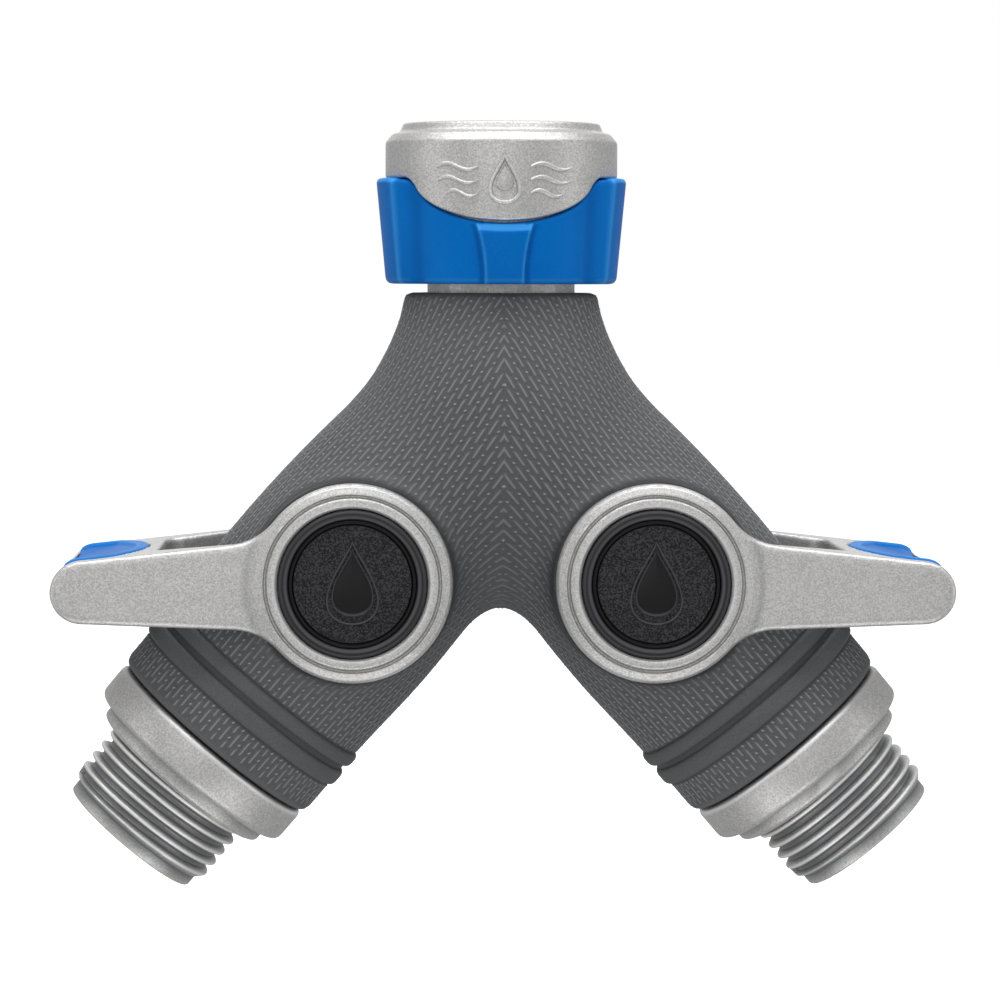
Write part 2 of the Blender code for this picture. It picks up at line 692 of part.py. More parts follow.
def pad_outline(margin):
    """Plan of the thumb pad, grown by margin: a shallow arc toward the hub, a flat tip end."""
    bow_x = PAD_START + PAD_BOW_RADIUS
    reach = PAD_BOW_RADIUS - PAD_CORNER
    corner_y = PAD_HALF_WIDTH - PAD_CORNER
    corner_x = bow_x - math.sqrt(reach ** 2 - corner_y ** 2)
    bearing = math.degrees(math.asin(corner_y / reach))
    bow = arc((bow_x, 0.0), PAD_BOW_RADIUS + margin, 180.0 + bearing, 180.0 - bearing, 8)
    corner = arc((corner_x, corner_y), PAD_CORNER + margin, 180.0 - bearing, 90.0, 3)[1:]
    end = (PAD_END + margin, PAD_HALF_WIDTH + margin)
    half = corner + [end]
    return [(x, -y) for x, y in reversed(half)] + bow + half


def flip(outline, side):
    return [(side * a, b) for a, b in outline]


def flip_shape(shape, side):
    vertices, faces = shape
    return [(side * x, y, z) for x, y, z in vertices], faces


def build_lever(name, side, materials, hub):
    droop = (0.0, side * LEVER_DROOP, 0.0)
    silver = materials["silver"]
    lever = make_object(f"{name}_lever", prism(flip(lever_profile(), side), -30.0, 30.0, "Y"),
                        silver, hub, droop)
    plan = make_object(f"mask_{name}_lever_plan", prism(flip(lever_plan(), side), -20.0, 20.0, "Z"),
                       silver, hub, droop)
    combine(lever, plan, "INTERSECT")
    for place, facing in (("front", -1), ("rear", 1)):
        near, far = sorted((facing * LEVER_INNER, facing * LEVER_OUTER))
        hub_disc = make_object(f"add_{name}_{place}_hub", prism(circle(HUB_RADIUS - 0.02, 28),
                                                                near, far, "Y"),
                               silver, hub, droop)
        combine(lever, hub_disc, "UNION")
        near, far = sorted((facing * LEVER_WEB, facing * 30.0))
        recess = make_object(f"cut_{name}_{place}_recess",
                             prism(circle(CAP_RADIUS + FIT_GAP, 24), near, far, "Y"),
                             silver, hub, droop)
        combine(lever, recess, "DIFFERENCE")
    drive_hole = make_object(f"cut_{name}_drive_hole",
                             prism(square(SQUARE_DRIVE + 2.0 * FIT_GAP), -30.0, -15.0, "Y"),
                             silver, hub)
    combine(lever, drive_hole, "DIFFERENCE")
    pivot_hole = make_object(f"cut_{name}_lever_pivot_hole",
                             prism(circle(PIVOT_RADIUS + FIT_GAP, 16), 15.0, 30.0, "Y"),
                             silver, hub, droop)
    combine(lever, pivot_hole, "DIFFERENCE")
    pocket = make_object(f"cut_{name}_pad_pocket", prism(flip(pad_outline(FIT_GAP), side),
                                                         2.7, 12.0, "Z"), silver, hub, droop)
    combine(lever, pocket, "DIFFERENCE")
    pad = prism(pad_outline(0.0), 3.0, 5.3, "Z")
    sloped = [(x, y, z - 0.11 * (x - 33.0)) if z > 4.0 else (x, y, z) for x, y, z in pad[0]]
    make_object(f"{name}_thumb_pad", flip_shape((sloped, pad[1]), side),
                materials["grip_blue"], hub, droop)


def build():
    clear_scene()
    materials = {
        "silver": make_material("silver", SILVER, 0.35, 0.6),
        "rubber_grey": make_material("rubber_grey", RUBBER_GREY, 0.65, 0.0),
        "grip_blue": make_material("grip_blue", GRIP_BLUE, 0.45, 0.0),
        "rubber_black": make_material("rubber_black", RUBBER_BLACK, 0.5, 0.0),
        "seal_black": make_material("seal_black", SEAL_BLACK, 0.6, 0.0),
        "seat_white": make_material("seat_white", SEAT_WHITE, 0.4, 0.0),
        "steel": make_material("steel", STEEL, 0.3, 1.0),
        "brass": make_material("brass", BRASS, 0.35, 1.0),
    }
    junction = make_empty("junction", (0.0, 0.0, -JUNCTION_DEPTH))
    sides = {"left": -1, "right": 1}
    hubs = {}
    legs = {}
    for name, side in sides.items():
        centre = (side * HUB_REACH * LEG_SINE, 0.0, -JUNCTION_DEPTH - HUB_REACH * LEG_COSINE)
        hubs[name] = make_empty(f"{name}_hub", centre)
        legs[name] = make_empty(f"{name}_leg", centre, (0.0, side * (180.0 - LEG_ANGLE), 0.0))
    build_body(materials, junction, hubs, legs)
    build_swivel(materials, junction)
    for name, side in sides.items():
        build_outlet(name, materials, legs[name])
        build_valve(name, materials, hubs[name], legs[name])
        build_lever(name, side, materials, hubs[name])


build()
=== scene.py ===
"""Looks of a two-way garden hose splitter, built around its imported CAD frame.

Every piece is modelled in millimetres in a local frame (junction, hub, leg or lever) and placed
by that frame's matrix. The hubs' places come from the frame's joints.
"""
import cmath
import json
import math

import bmesh
import bpy
import numpy as np
from mathutils import Matrix, Quaternion, Vector


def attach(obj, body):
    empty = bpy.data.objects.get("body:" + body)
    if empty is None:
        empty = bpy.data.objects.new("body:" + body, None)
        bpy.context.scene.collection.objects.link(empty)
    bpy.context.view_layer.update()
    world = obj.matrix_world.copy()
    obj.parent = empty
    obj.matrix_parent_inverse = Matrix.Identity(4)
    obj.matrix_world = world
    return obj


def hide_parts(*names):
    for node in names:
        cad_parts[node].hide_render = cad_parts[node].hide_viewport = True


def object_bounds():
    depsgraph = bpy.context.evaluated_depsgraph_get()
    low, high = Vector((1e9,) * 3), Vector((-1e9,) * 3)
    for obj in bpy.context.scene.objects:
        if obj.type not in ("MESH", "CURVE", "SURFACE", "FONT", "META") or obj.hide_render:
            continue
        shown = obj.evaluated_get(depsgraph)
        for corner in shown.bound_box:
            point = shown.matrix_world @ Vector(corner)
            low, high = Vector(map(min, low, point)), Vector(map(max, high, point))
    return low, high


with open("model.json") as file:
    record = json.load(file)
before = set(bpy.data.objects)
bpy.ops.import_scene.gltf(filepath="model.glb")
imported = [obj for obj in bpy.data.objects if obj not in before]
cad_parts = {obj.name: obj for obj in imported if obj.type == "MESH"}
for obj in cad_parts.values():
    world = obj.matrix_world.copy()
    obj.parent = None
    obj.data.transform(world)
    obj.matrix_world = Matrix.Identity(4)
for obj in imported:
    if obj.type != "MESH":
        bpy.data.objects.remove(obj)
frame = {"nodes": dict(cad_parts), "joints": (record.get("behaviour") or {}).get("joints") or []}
cad_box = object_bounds()

MM = 0.001

# Layout, millimetres and degrees
LEG_ANGLE = 40.25
LEVER_DROOP = 2.0

# Rubber skin
NECK_RADIUS = 15.2
SKIN_TOP = 17.4
SKIN_WALL = 2.1
NECK_BLEND = 7.0
CROTCH_BLEND = 10.5
WAIST_RADIUS = 15.6
BELLY_RADIUS = 19.7
BELLY_REACH = 42.0
LEG_END_RADIUS = 18.85
BELLY_FALL = 13.0
SKIN_REACH = 71.5
BANDS = ((59.0, 61.5), (62.4, 65.4))
BAND_HEIGHT = 0.8
END_ROUND = 0.9
BOSS_RADIUS = 16.1
BOSS_FACE = 19.75
BOSS_HOLE = 12.8

# Relief on the skin: staggered columns of dashes with a dot between each two. The columns follow
# the leg's axis, which bends toward the neck above BEND_END.
COLUMNS = 116
HALF_PERIOD = 2.2
DASH_END = 1.38
DASH_FLAT = 1.1
DOT_RADIUS = 0.34
RIDGE_SHARE = 0.29
RELIEF_HEIGHT = 0.16
DOT_HEIGHT = 0.25
BEND = 10.0
BEND_END = 38.0
BEND_LENGTH = 46.0
HUB_MARGIN = 16.2

# Lever
HUB_RADIUS = 15.75
FILLET_RADIUS = 10.0
ARM_HALF_HEIGHT = 8.1
ARM_TAPER = 0.074
TIP_RADIUS = 4.95
LEVER_LENGTH = 47.5
SLOT_END = 30.9
SLOT_CORNER = 2.8
ARM_FACE = 22.2
LEVER_INNER = 20.1
LEVER_WEB = 21.4
LEVER_OUTER = 23.5
EDGE_ROUND = 0.85
NET_STEP = 0.48
COLLAR_SEAT_RADIUS = 14.9      # the net is cut away inside it, and the collar fills the cut
COLLAR_SEAT_FACE = 22.4

# Caps
CAP_RADIUS = 11.7
CAP_RIM = 23.88
CAP_FLOOR = 23.3
DROP_SHIFT = 0.3

# Thumb pad
PAD_START = 32.9
PAD_END = 45.4
PAD_BOW_RADIUS = 38.0
PAD_HALF_WIDTH = 18.9
PAD_CORNER = 2.5
PAD_BASE = 3.0
PAD_LIFT = 0.34

# Nut and grip, heights above the junction and degrees from the sides
NUT_RADIUS = 18.7
NUT_TOP = 44.59
APRON_LOW = 28.8
APRON_HIGH = 35.7
APRON_HALF_WIDTH = 14.2
DROP_LEVEL = 35.6
GRIP_BOTTOM = 18.8
GRIP_INNER = 16.75
GRIP_TOP_RADIUS = 18.7
GRIP_FOOT_RADIUS = 18.0
WING_TOP_RADIUS = 20.2
WING_FOOT_RADIUS = 18.6
WING_EDGE = 28.5
WING_FALL = 12.0
LUG_TOP = APRON_LOW - 0.4

# Hose thread, whose start lies inside the step, so the first crest runs out of the step's face
THREAD_CREST = 13.4
THREAD_ROOT = 12.2
THREAD_PITCH = 2.209
THREAD_TURNS = 4.75
THREAD_START = 41.84
OUTLET_END = 56.15

# Marks: how far a raised mark's foot reaches into the surface under it
SUNK = -0.4


# Frames

SIDES = {"left": -1, "right": 1}
JOINTS = {joint["name"]: joint for joint in frame["joints"]}
HUBS = {name: Vector(JOINTS[f"{name}_lever_turn"]["pos_m"]) for name in SIDES}
LEG_SINE = math.sin(math.radians(LEG_ANGLE))
LEG_COSINE = math.cos(math.radians(LEG_ANGLE))
HUB_X = HUBS["right"].x / MM
HUB_Z = -HUB_X / LEG_SINE * LEG_COSINE
JUNCTION_DEPTH = -HUBS["right"].z / MM + HUB_Z
JUNCTION = Matrix.Translation((0.0, 0.0, -JUNCTION_DEPTH * MM))


def turn_y(degrees):
    return Matrix.Rotation(math.radians(degrees), 4, "Y")


def leg_frame(name):
    """+Z runs outward along the leg, from the valve centre."""
    return Matrix.Translation(HUBS[name]) @ turn_y(SIDES[name] * (180 - LEG_ANGLE))


def hub_frame(name, facing):
    """+Z runs to the front (facing -1) or to the back (facing 1), +Y up at the front."""
    return Matrix.Translation(HUBS[name]) @ Matrix.Rotation(math.radians(-90 * facing), 4, "X")


def lever_frame(name):
    """+X runs from the hub to the lever's tip."""
    flip = Matrix.Scale(-1, 4, (1, 0, 0)) if SIDES[name] < 0 else Matrix.Identity(4)
    return Matrix.Translation(HUBS[name]) @ flip @ turn_y(LEVER_DROOP)


# Numbers

def unit(value):
    """The value, kept between 0 and 1."""
    return np.clip(value, 0, 1)


def smooth(value):
    value = unit(value)
    return value * value * (3 - 2 * value)


def bell(value, centre, width):
    return np.exp(-((value - centre) / width) ** 2)


# Mesh making

def make_piece(name, shape, place, *rest, **rules):
    """A piece from (vertices in mm, faces) in a local frame."""
    finish_piece(raw_object(name, shape, place), place, *rest, **rules)


def finish_piece(item, place, material, body, slot, node, crease, **rules):
    """Let the item ride on a CAD body, and store each rule's value at its vertices."""
    item.data.materials.clear()
    item.data.materials.append(material)
    item.data.shade_smooth()
    item.data.set_sharp_from_angle(angle=math.radians(crease))
    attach(item, body)
    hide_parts(node)
    for name, rule in rules.items():
        mark(item, place, name, rule)


def link_object(name, data):
    item = bpy.data.objects.new(name, data)
    bpy.context.scene.collection.objects.link(item)
    return item


def raw_object(name, shape, place):
    vertices, faces = shape
    points = np.asarray(vertices, float) * MM
    mesh = bpy.data.meshes.new(name)
    mesh.from_pydata(points.tolist(), [], [list(map(int, face)) for face in faces])
    mesh.transform(place)
    work = bmesh.new()
    work.from_mesh(mesh)
    bmesh.ops.recalc_face_normals(work, faces=work.faces)
    work.to_mesh(mesh)
    work.free()
    return link_object(name, mesh)


def mark(item, place, name, rule):
    """Store the rule's value at each vertex, from its place in mm in the local frame."""
    mesh = item.data
    places = np.zeros(len(mesh.vertices) * 3)
    mesh.vertices.foreach_get("co", places)
    places = np.c_[places.reshape(-1, 3), np.ones(len(mesh.vertices))]
    local = (np.array(place.inverted()) @ places.T).T[:, :3] / MM
    layer = mesh.attributes.new(name, "FLOAT", "POINT")
    layer.data.foreach_set("value", rule(local).astype(np.float32))


def join_shapes(*shapes):
    vertices = []
    faces = []
    for points, polygons in shapes:
        start = len(vertices)
        vertices.extend(tuple(point) for point in np.asarray(points, float))
        faces.extend(tuple(start + int(corner) for corner in polygon) for polygon in polygons)
    return vertices, faces


def grid_faces(rows, columns, closed=False):
    """Quads between rows of points, each row a loop. The last row may join the first."""
    faces = []
    for row in range(rows if closed else rows - 1):
        above = (row + 1) % rows
        for column in range(columns):
            ahead = (column + 1) % columns
            faces.append((row * columns + column, row * columns + ahead,
                          above * columns + ahead, above * columns + column))
    return faces


def capped_grid(rows, columns):
    """Grid faces with a cap over the first and the last row."""
    last = (rows - 1) * columns
    return grid_faces(rows, columns) + [tuple(range(columns)), tuple(range(last, last + columns))]


def ring(radius, height, segments):
    """Points round Z. Radius and height are numbers, or hold one value for each point."""
    angle = np.linspace(0, math.tau, segments, endpoint=False)
    return np.stack([radius * np.cos(angle), radius * np.sin(angle),
                     np.broadcast_to(height, segments)], axis=1)


def lathe(outline, segments=96):
    """Turn an (r, z) outline about Z. It is closed, or starts and ends on the axis."""
    vertices = np.vstack([ring(radius, height, segments) for radius, height in outline])
    return weld(vertices, grid_faces(len(outline), segments, closed=outline[0][0] > 0))


def weld(vertices, faces):
    """Merge equal vertices and drop faces that have no area left."""
    points = np.round(vertices, 5) + 0
    merged, lookup = np.unique(points, axis=0, return_inverse=True)
    lookup = lookup.ravel()
    kept = []
    for face in faces:
        corners = list(dict.fromkeys(int(lookup[corner]) for corner in face))
        if len(corners) > 2:
            kept.append(corners)
    return merged, kept


def rounded(points, steps=4):
    """An outline whose (r, z, radius) corners are rounded, and whose (r, z) corners stay sharp."""
    outline = []
    for index, (r, z, *radius) in enumerate(points):
        if not radius:
            outline.append((r, z))
            continue
        corner = complex(r, z)
        before = complex(*points[index - 1][:2]) - corner
        after = complex(*points[(index + 1) % len(points)][:2]) - corner
        half = cmath.phase(after / before) / 2
        way = before / abs(before)
        centre = corner + way * cmath.rect(radius[0] / math.sin(abs(half)), half)
        first = corner + way * radius[0] / math.tan(abs(half)) - centre
        sweep = math.copysign(math.pi - 2 * abs(half), -half)
        for step in range(steps + 1):
            point = centre + first * cmath.rect(1, sweep * step / steps)
            outline.append((point.real, point.imag))
    return outline


def arc(centre, radius, start, stop, steps):
    angle = np.radians(np.linspace(start, stop, steps + 1))
    return [(centre[0] + radius * math.cos(a), centre[1] + radius * math.sin(a)) for a in angle]


def carve(item, tools):
    """Boolean each (operation, tool) into the item and apply the result."""
    for operation, tool in tools:
        modifier = item.modifiers.new(tool.name, "BOOLEAN")
        modifier.operation = operation
        modifier.solver = "MANIFOLD"
        modifier.object = tool
    bpy.context.view_layer.update()
    evaluated = item.evaluated_get(bpy.context.evaluated_depsgraph_get())
    mesh = bpy.data.meshes.new_from_object(evaluated)
    item.modifiers.clear()
    item.data = mesh
    for _, tool in tools:
        bpy.data.objects.remove(tool)


# Distance fields

def soft_min(first, second, width):
    closeness = np.maximum(width - np.abs(first - second), 0) / width
    return np.minimum(first, second) - closeness ** 2 * width / 4


def soft_max(first, second, width):
    return -soft_min(-first, -second, width)


def round_max(first, second, radius):
    """Intersection of two solids with a round edge."""
    corner = np.hypot(np.maximum(first + radius, 0), np.maximum(second + radius, 0))
    return np.minimum(np.maximum(first, second), -radius) + corner


def gradient(field, points, step=0.02):
    parts = []
    for axis in range(3):
        shift = np.zeros(3)
        shift[axis] = step
        parts.append(field(points + shift) - field(points - shift))
    slope = np.stack(parts, axis=1)
    return slope / np.maximum(np.linalg.norm(slope, axis=1), 1e-9)[:, None]


def settle(field, points, rounds=4):
    """Move points onto the field's zero surface."""
    for _ in range(rounds):
        points = points - 0.9 * field(points)[:, None] * gradient(field, points)
    return points


def outline_distance(a, b, outline):
    """Signed distance from points (a, b) to a closed 2-D outline, negative inside."""
    shape = np.shape(a)
    a = np.ravel(a)
    b = np.ravel(b)
    nearest = np.full(len(a), 1e9)
    inside = np.zeros(len(a), bool)
    for (a0, b0), (a1, b1) in zip(outline, list(outline[1:]) + [outline[0]]):
        da, db = a1 - a0, b1 - b0
        share = unit(((a - a0) * da + (b - b0) * db) / (da * da + db * db))
        nearest = np.minimum(nearest, (a - a0 - share * da) ** 2 + (b - b0 - share * db) ** 2)
        if db != 0:
            inside ^= ((b0 > b) != (b1 > b)) & (a < a0 + (b - b0) * da / db)
    distance = np.sqrt(nearest)
    return np.where(inside, -distance, distance).reshape(shape)


def surface_net(values, low, step):
    """Closed quad surface where the sampled field changes sign."""
    cells = np.array(values.shape) - 1
    total = np.zeros((int(np.prod(cells)), 3))
    count = np.zeros(int(np.prod(cells)))
    quads = []
    inside = values < 0
    for axis in range(3):
        near = [slice(None)] * 3
        far = [slice(None)] * 3
        near[axis] = slice(None, -1)
        far[axis] = slice(1, None)
        crossing = inside[tuple(near)] != inside[tuple(far)]
        index = np.argwhere(crossing)
        start = values[tuple(near)][crossing]
        stop = values[tuple(far)][crossing]
        points = index.astype(float)
        points[:, axis] += start / (start - stop)
        first, second = [other for other in range(3) if other != axis]
        around = []
        for step_first, step_second in ((0, 0), (1, 0), (1, 1), (0, 1)):
            cell = index.copy()
            cell[:, first] -= step_first
            cell[:, second] -= step_second
            flat = np.ravel_multi_index(cell.T, cells)
            np.add.at(total, flat, points)
            np.add.at(count, flat, 1)
            around.append(flat)
        quads.append(np.stack(around, axis=1))
    quads = np.vstack(quads)
    used, faces = np.unique(quads, return_inverse=True)
    vertices = np.array(low) + step * total[used] / count[used][:, None]
    return vertices, faces.reshape(quads.shape)


# Rubber skin

def leg_radius(reach):
    rise = BELLY_RADIUS - (BELLY_RADIUS - WAIST_RADIUS) * (reach / BELLY_REACH - 1) ** 2
    fall = bell(reach, BELLY_REACH, BELLY_FALL)
    fall = LEG_END_RADIUS + (BELLY_RADIUS - LEG_END_RADIUS) * fall
    return np.where(reach < BELLY_REACH, rise, fall)


def limb_distance(points, direction, radius):
    reach = np.maximum(points @ direction, 0)
    offset = points - reach[:, None] * direction
    return np.linalg.norm(offset, axis=1) - radius(reach)


def limbs_distance(points):
    right = limb_distance(points, np.array([LEG_SINE, 0, -LEG_COSINE]), leg_radius)
    left = limb_distance(points, np.array([-LEG_SINE, 0, -LEG_COSINE]), leg_radius)
    neck = limb_distance(points, np.array([0, 0, 1]), lambda reach: NECK_RADIUS)
    return soft_min(soft_min(left, right, CROTCH_BLEND), neck, NECK_BLEND)


def hub_distance(points):
    """Distance from the nearer hub's axis."""
    return np.hypot(np.abs(points[:, 0]) - HUB_X, points[:, 2] - HUB_Z)


def skin_distance(points):
    """The skin without its relief and bands: limbs, flared hub bosses, and a flat top."""
    depth = np.abs(points[:, 1])
    boss = np.maximum(hub_distance(points) - BOSS_RADIUS + 0.3, depth - BOSS_FACE + 0.5)
    joined = soft_min(limbs_distance(points), boss, 3.5)
    joined = soft_max(joined, depth - BOSS_FACE + 0.02, 0.3)
    return soft_max(joined, points[:, 2] - SKIN_TOP, 1.3)


def band_height(reach):
    height = np.zeros_like(reach)
    for low, high in BANDS:
        inset = unit(np.minimum(reach - low, high - reach) / 0.85)
        height += BAND_HEIGHT * np.sqrt(1 - (1 - inset) ** 2)
    return height


def end_drop(reach):
    inset = unit((reach - SKIN_REACH + END_ROUND) / END_ROUND)
    return END_ROUND * (1 - np.sqrt(1 - inset ** 2))


def relief_mask(points, reach):
    """1 where the skin has its relief: clear of hubs, bands, end and top."""
    mask = unit((hub_distance(points) - HUB_MARGIN) / 0.3)
    mask = np.where(np.abs(points[:, 1]) < 4, 1, mask)
    mask *= unit((SKIN_TOP - 0.15 - points[:, 2]) / 0.5)
    mask *= unit((SKIN_REACH - 0.9 - reach) / 0.4)
    low, high = BANDS[0][0] - 0.35, BANDS[-1][1] + 0.35
    return mask * np.where((reach > low) & (reach < high), 0, 1)


def relief_height(angle, reach):
    """Height of the dash-and-dot relief on a leg's unrolled surface."""
    column = angle / math.tau * COLUMNS
    nearest = np.round(column)
    across = unit(1 - np.abs(column - nearest) / RIDGE_SHARE)
    phase = reach - HALF_PERIOD * (nearest % 2)
    along = np.abs((phase + HALF_PERIOD) % (2 * HALF_PERIOD) - HALF_PERIOD)
    dash = unit((DASH_END - along) / (DASH_END - DASH_FLAT))
    dot = unit(1 - (HALF_PERIOD - along) / DOT_RADIUS)
    return across * np.maximum(dash * RELIEF_HEIGHT, dot * DOT_HEIGHT)


def relief_stations():
    """Reaches where a row of vertices is needed."""
    rows = []
    start = -7 * HALF_PERIOD
    while start < SKIN_REACH:
        for offset in (0, DOT_RADIUS, DASH_FLAT, DASH_END, HALF_PERIOD - DOT_RADIUS):
            rows.append(start + offset)
        start += HALF_PERIOD
    first, last = BANDS[0][0] - 0.3, BANDS[-1][1] + 0.3
    rows = [row for row in rows if row < first or last < row < SKIN_REACH - 1.2]
    for low, high in BANDS:
        for inset in (-0.15, 0, 0.05, 0.17, 0.4, 0.8):
            rows.extend([low + inset, high - inset])
        rows.append((low + high) / 2)
    rows.extend(SKIN_REACH - inset for inset in (1.1, 0.9, 0.6, 0.35, 0.15, 0.04, 0))
    return np.array(sorted(rows))


def leg_axis(reach):
    """Points on the right leg's bent axis, and the direction square to it, away from x = 0."""
    fine = np.arange(-25, SKIN_REACH + 5, 0.05)
    tilt = np.radians(LEG_ANGLE - BEND * smooth((BEND_END - fine) / BEND_LENGTH))
    across = np.cumsum(np.sin(tilt)) * 0.05
    down = np.cumsum(np.cos(tilt)) * 0.05
    across += BEND_END * LEG_SINE - np.interp(BEND_END, fine, across)
    down += BEND_END * LEG_COSINE - np.interp(BEND_END, fine, down)
    tilt = np.interp(reach, fine, tilt)
    zero = np.zeros_like(reach)
    places = np.stack([np.interp(reach, fine, across), zero, -np.interp(reach, fine, down)], axis=1)
    return places, np.stack([np.cos(tilt), zero, np.sin(tilt)], axis=1)


def leg_grid(field, reaches, angles):
    """Points on the right half of the body: rays square to the leg's axis, kept near x >= 0."""
    reach, angle = (values.ravel() for values in np.meshgrid(reaches, angles, indexing="ij"))
    origins, outward = leg_axis(reach)
    rays = np.cos(angle)[:, None] * outward
    rays[:, 1] += np.sin(angle)
    far = np.full(len(rays), 60.0)
    leftward = rays[:, 0] < -1e-6
    far[leftward] = np.minimum(60, (origins[leftward, 0] + 0.6) / -rays[leftward, 0])
    far = np.maximum(far, 0.02)
    near = np.zeros(len(rays))
    for _ in range(24):
        middle = (near + far) / 2
        inside = field(origins + middle[:, None] * rays) < 0
        near = np.where(inside, middle, near)
        far = np.where(inside, far, middle)
    return origins, rays, near, reach, angle


def mirrored_solid(name, vertices, rows, columns):
    """Close a leg grid's ends, cut it at x = 0 and mirror it to the other leg."""
    mesh = bpy.data.meshes.new(name)
    mesh.from_pydata(vertices.tolist(), [], capped_grid(rows, columns))
    work = bmesh.new()
    work.from_mesh(mesh)
    everything = work.verts[:] + work.edges[:] + work.faces[:]
    bmesh.ops.bisect_plane(work, geom=everything, plane_co=(0, 0, 0), plane_no=(1, 0, 0),
                           clear_inner=True, dist=1e-5)
    for vertex in work.verts:
        if abs(vertex.co.x) < 1e-4:
            vertex.co.x = 0
    everything = work.verts[:] + work.edges[:] + work.faces[:]
    bmesh.ops.mirror(work, geom=everything, matrix=Matrix.Identity(4), merge_dist=1e-4, axis="X")
    bmesh.ops.recalc_face_normals(work, faces=work.faces)
    work.to_mesh(mesh)
    work.free()
    mesh.transform(JUNCTION @ Matrix.Scale(MM, 4))
    return link_object(name, mesh)


def build_skin(rubber):
    reaches = relief_stations()
    pitch = math.tau / COLUMNS
    angles = np.array([(column + shift) * pitch for column in range(COLUMNS)
                       for shift in (-RIDGE_SHARE, 0, RIDGE_SHARE)])
    origins, rays, distance, reach, angle = leg_grid(skin_distance, reaches, angles)
    distance = distance + band_height(reach) - end_drop(reach)
    points = origins + distance[:, None] * rays
    lift = relief_height(angle, reach) * relief_mask(points, reach)
    points = points + lift[:, None] * gradient(skin_distance, points)
    skin = mirrored_solid("body_skin", points, len(reaches), len(angles))

    def core_distance(places):
        return np.maximum(limbs_distance(places) + SKIN_WALL, places[:, 2] - SKIN_TOP - 2)

    reaches = np.append(np.arange(-17, SKIN_REACH, 2.5), SKIN_REACH + 1)
    angles = np.linspace(0, math.tau, 72, endpoint=False)
    origins, rays, distance, _, _ = leg_grid(core_distance, reaches, angles)
    core = mirrored_solid("skin_core", origins + distance[:, None] * rays, len(reaches),
                          len(angles))
    collar = rounded([(BOSS_HOLE - 0.6, 10), (BOSS_RADIUS, 10), (BOSS_RADIUS, BOSS_FACE, 0.45),
                      (BOSS_HOLE - 0.6, BOSS_FACE)])
    hole = [(0, -26), (BOSS_HOLE, -26), (BOSS_HOLE, 26), (0, 26)]
    tools = [("UNION", raw_object(f"{name}_collar{facing}", lathe(collar, 144),
                                  hub_frame(name, facing)))
             for name in SIDES for facing in (-1, 1)]
    tools.append(("DIFFERENCE", core))
    tools += [("DIFFERENCE", raw_object(f"{name}_hole", lathe(hole), hub_frame(name, 1)))
              for name in SIDES]
    carve(skin, tools)
    finish_piece(skin, JUNCTION, rubber, "body", "rubber_grey", "body_sleeve", 55,
                 relief=skin_relief, tone=skin_tone)


def leg_reach(points):
    return np.abs(points[:, 0]) * LEG_SINE - points[:, 2] * LEG_COSINE


def skin_relief(points):
    """How far each point stands above the plain skin, in relief heights."""
    height = np.clip(skin_distance(points) / RELIEF_HEIGHT, 0, 2)
    return height * relief_mask(points, leg_reach(points))


def skin_tone(points):
    """Painted shadow round the hubs, painted shade beside the bands, and a painted highlight near
    the end.
    """
    reach = leg_reach(points)
    # Painted shadow of the hub ring on the rubber, then painted shade in the creases beside the
    # bands
    tone = -0.75 * bell(hub_distance(points), 15.9, 0.75) * (np.abs(points[:, 1]) > 10)
    for low, high in BANDS:
        for edge in (low - 0.1, high + 0.1):
            tone -= 0.4 * bell(reach, edge, 0.16)
    return tone + 0.25 * bell(reach, SKIN_REACH - 0.6, 0.3)


# Swivel nut and grip

def apron_edge(angle):
    """Height of the nut's lower edge, at degrees from the front or the back."""
    across = NUT_RADIUS * math.sin(math.radians(min(angle, 90)))
    share = min(across / APRON_HALF_WIDTH, 0.99)
    bowl = 6.2 * (1 - math.sqrt(1 - share * share)) + 1.3 * max(0, across - 14.06)
    return float(soft_min(APRON_LOW + bowl, APRON_HIGH, 1))


def from_face(turn):
    """Smallest angle between a direction (0 = +X) and the front or the back."""
    return abs((turn % 180) - 90)


def shaped_lathe(profile_at, pitch):
    """A closed (r, z) profile turned about Z, which may change with the direction."""
    vertices = []
    turns = np.arange(0, 360, pitch)
    for turn in turns:
        angle = math.radians(turn)
        profile = profile_at(turn)
        vertices.extend((r * math.cos(angle), r * math.sin(angle), z) for r, z in profile)
    return vertices, grid_faces(len(turns), len(profile), closed=True)


def nut_profile(turn):
    edge = apron_edge(from_face(turn))
    upper = rounded([(14.4, NUT_TOP, 0.25), (15.8, NUT_TOP, 0.6), (16.35, 43.2, 0.9),
                     (17.6, 42.85, 1.1), (NUT_RADIUS, 41.5, 0.9), (NUT_RADIUS, 38)], steps=6)
    lower = rounded([(NUT_RADIUS, 37.5), (NUT_RADIUS, edge, 0.5), (16.4, edge)], steps=5)
    return upper[:-1] + lower + [(16.4, 19.9), (9.6, 19.9), (9.6, 22.9), (14.1, 22.9), (14.1, 44)]


def nut_thread(segments=96):
    """Female thread, as a ring of its own in the nut's mouth."""
    first, last = 29, 43.4
    count = int((last - first) / THREAD_PITCH * 8)
    share = np.arange(segments) / segments
    rings = [ring(radius, first - 0.6, segments) for radius in (14.3, 13.9)]
    for row in range(count + 1):
        z = first + (last - first) * row / count
        fade = max(0, min(1, (z - first) / 1.2, (last - z) / 1.2))
        crest = unit(1.35 - 3 * np.abs((z / THREAD_PITCH - share) % 1 - 0.5))
        rings.append(ring(13.75 - 0.95 * crest * fade, z, segments))
    rings += [ring(radius, last + 0.4, segments) for radius in (13.9, 14.3)]
    return np.vstack(rings), grid_faces(len(rings), segments, closed=True)


def drop_outline(height, steps=64):
    """A water drop, point up, centred on the origin."""
    points = []
    for step in range(steps):
        angle = math.tau * step / steps
        width = math.sin(angle) * math.sin(angle / 2) ** 1.6
        points.append((0.45 * height * width, 0.5 * height * math.cos(angle)))
    return points


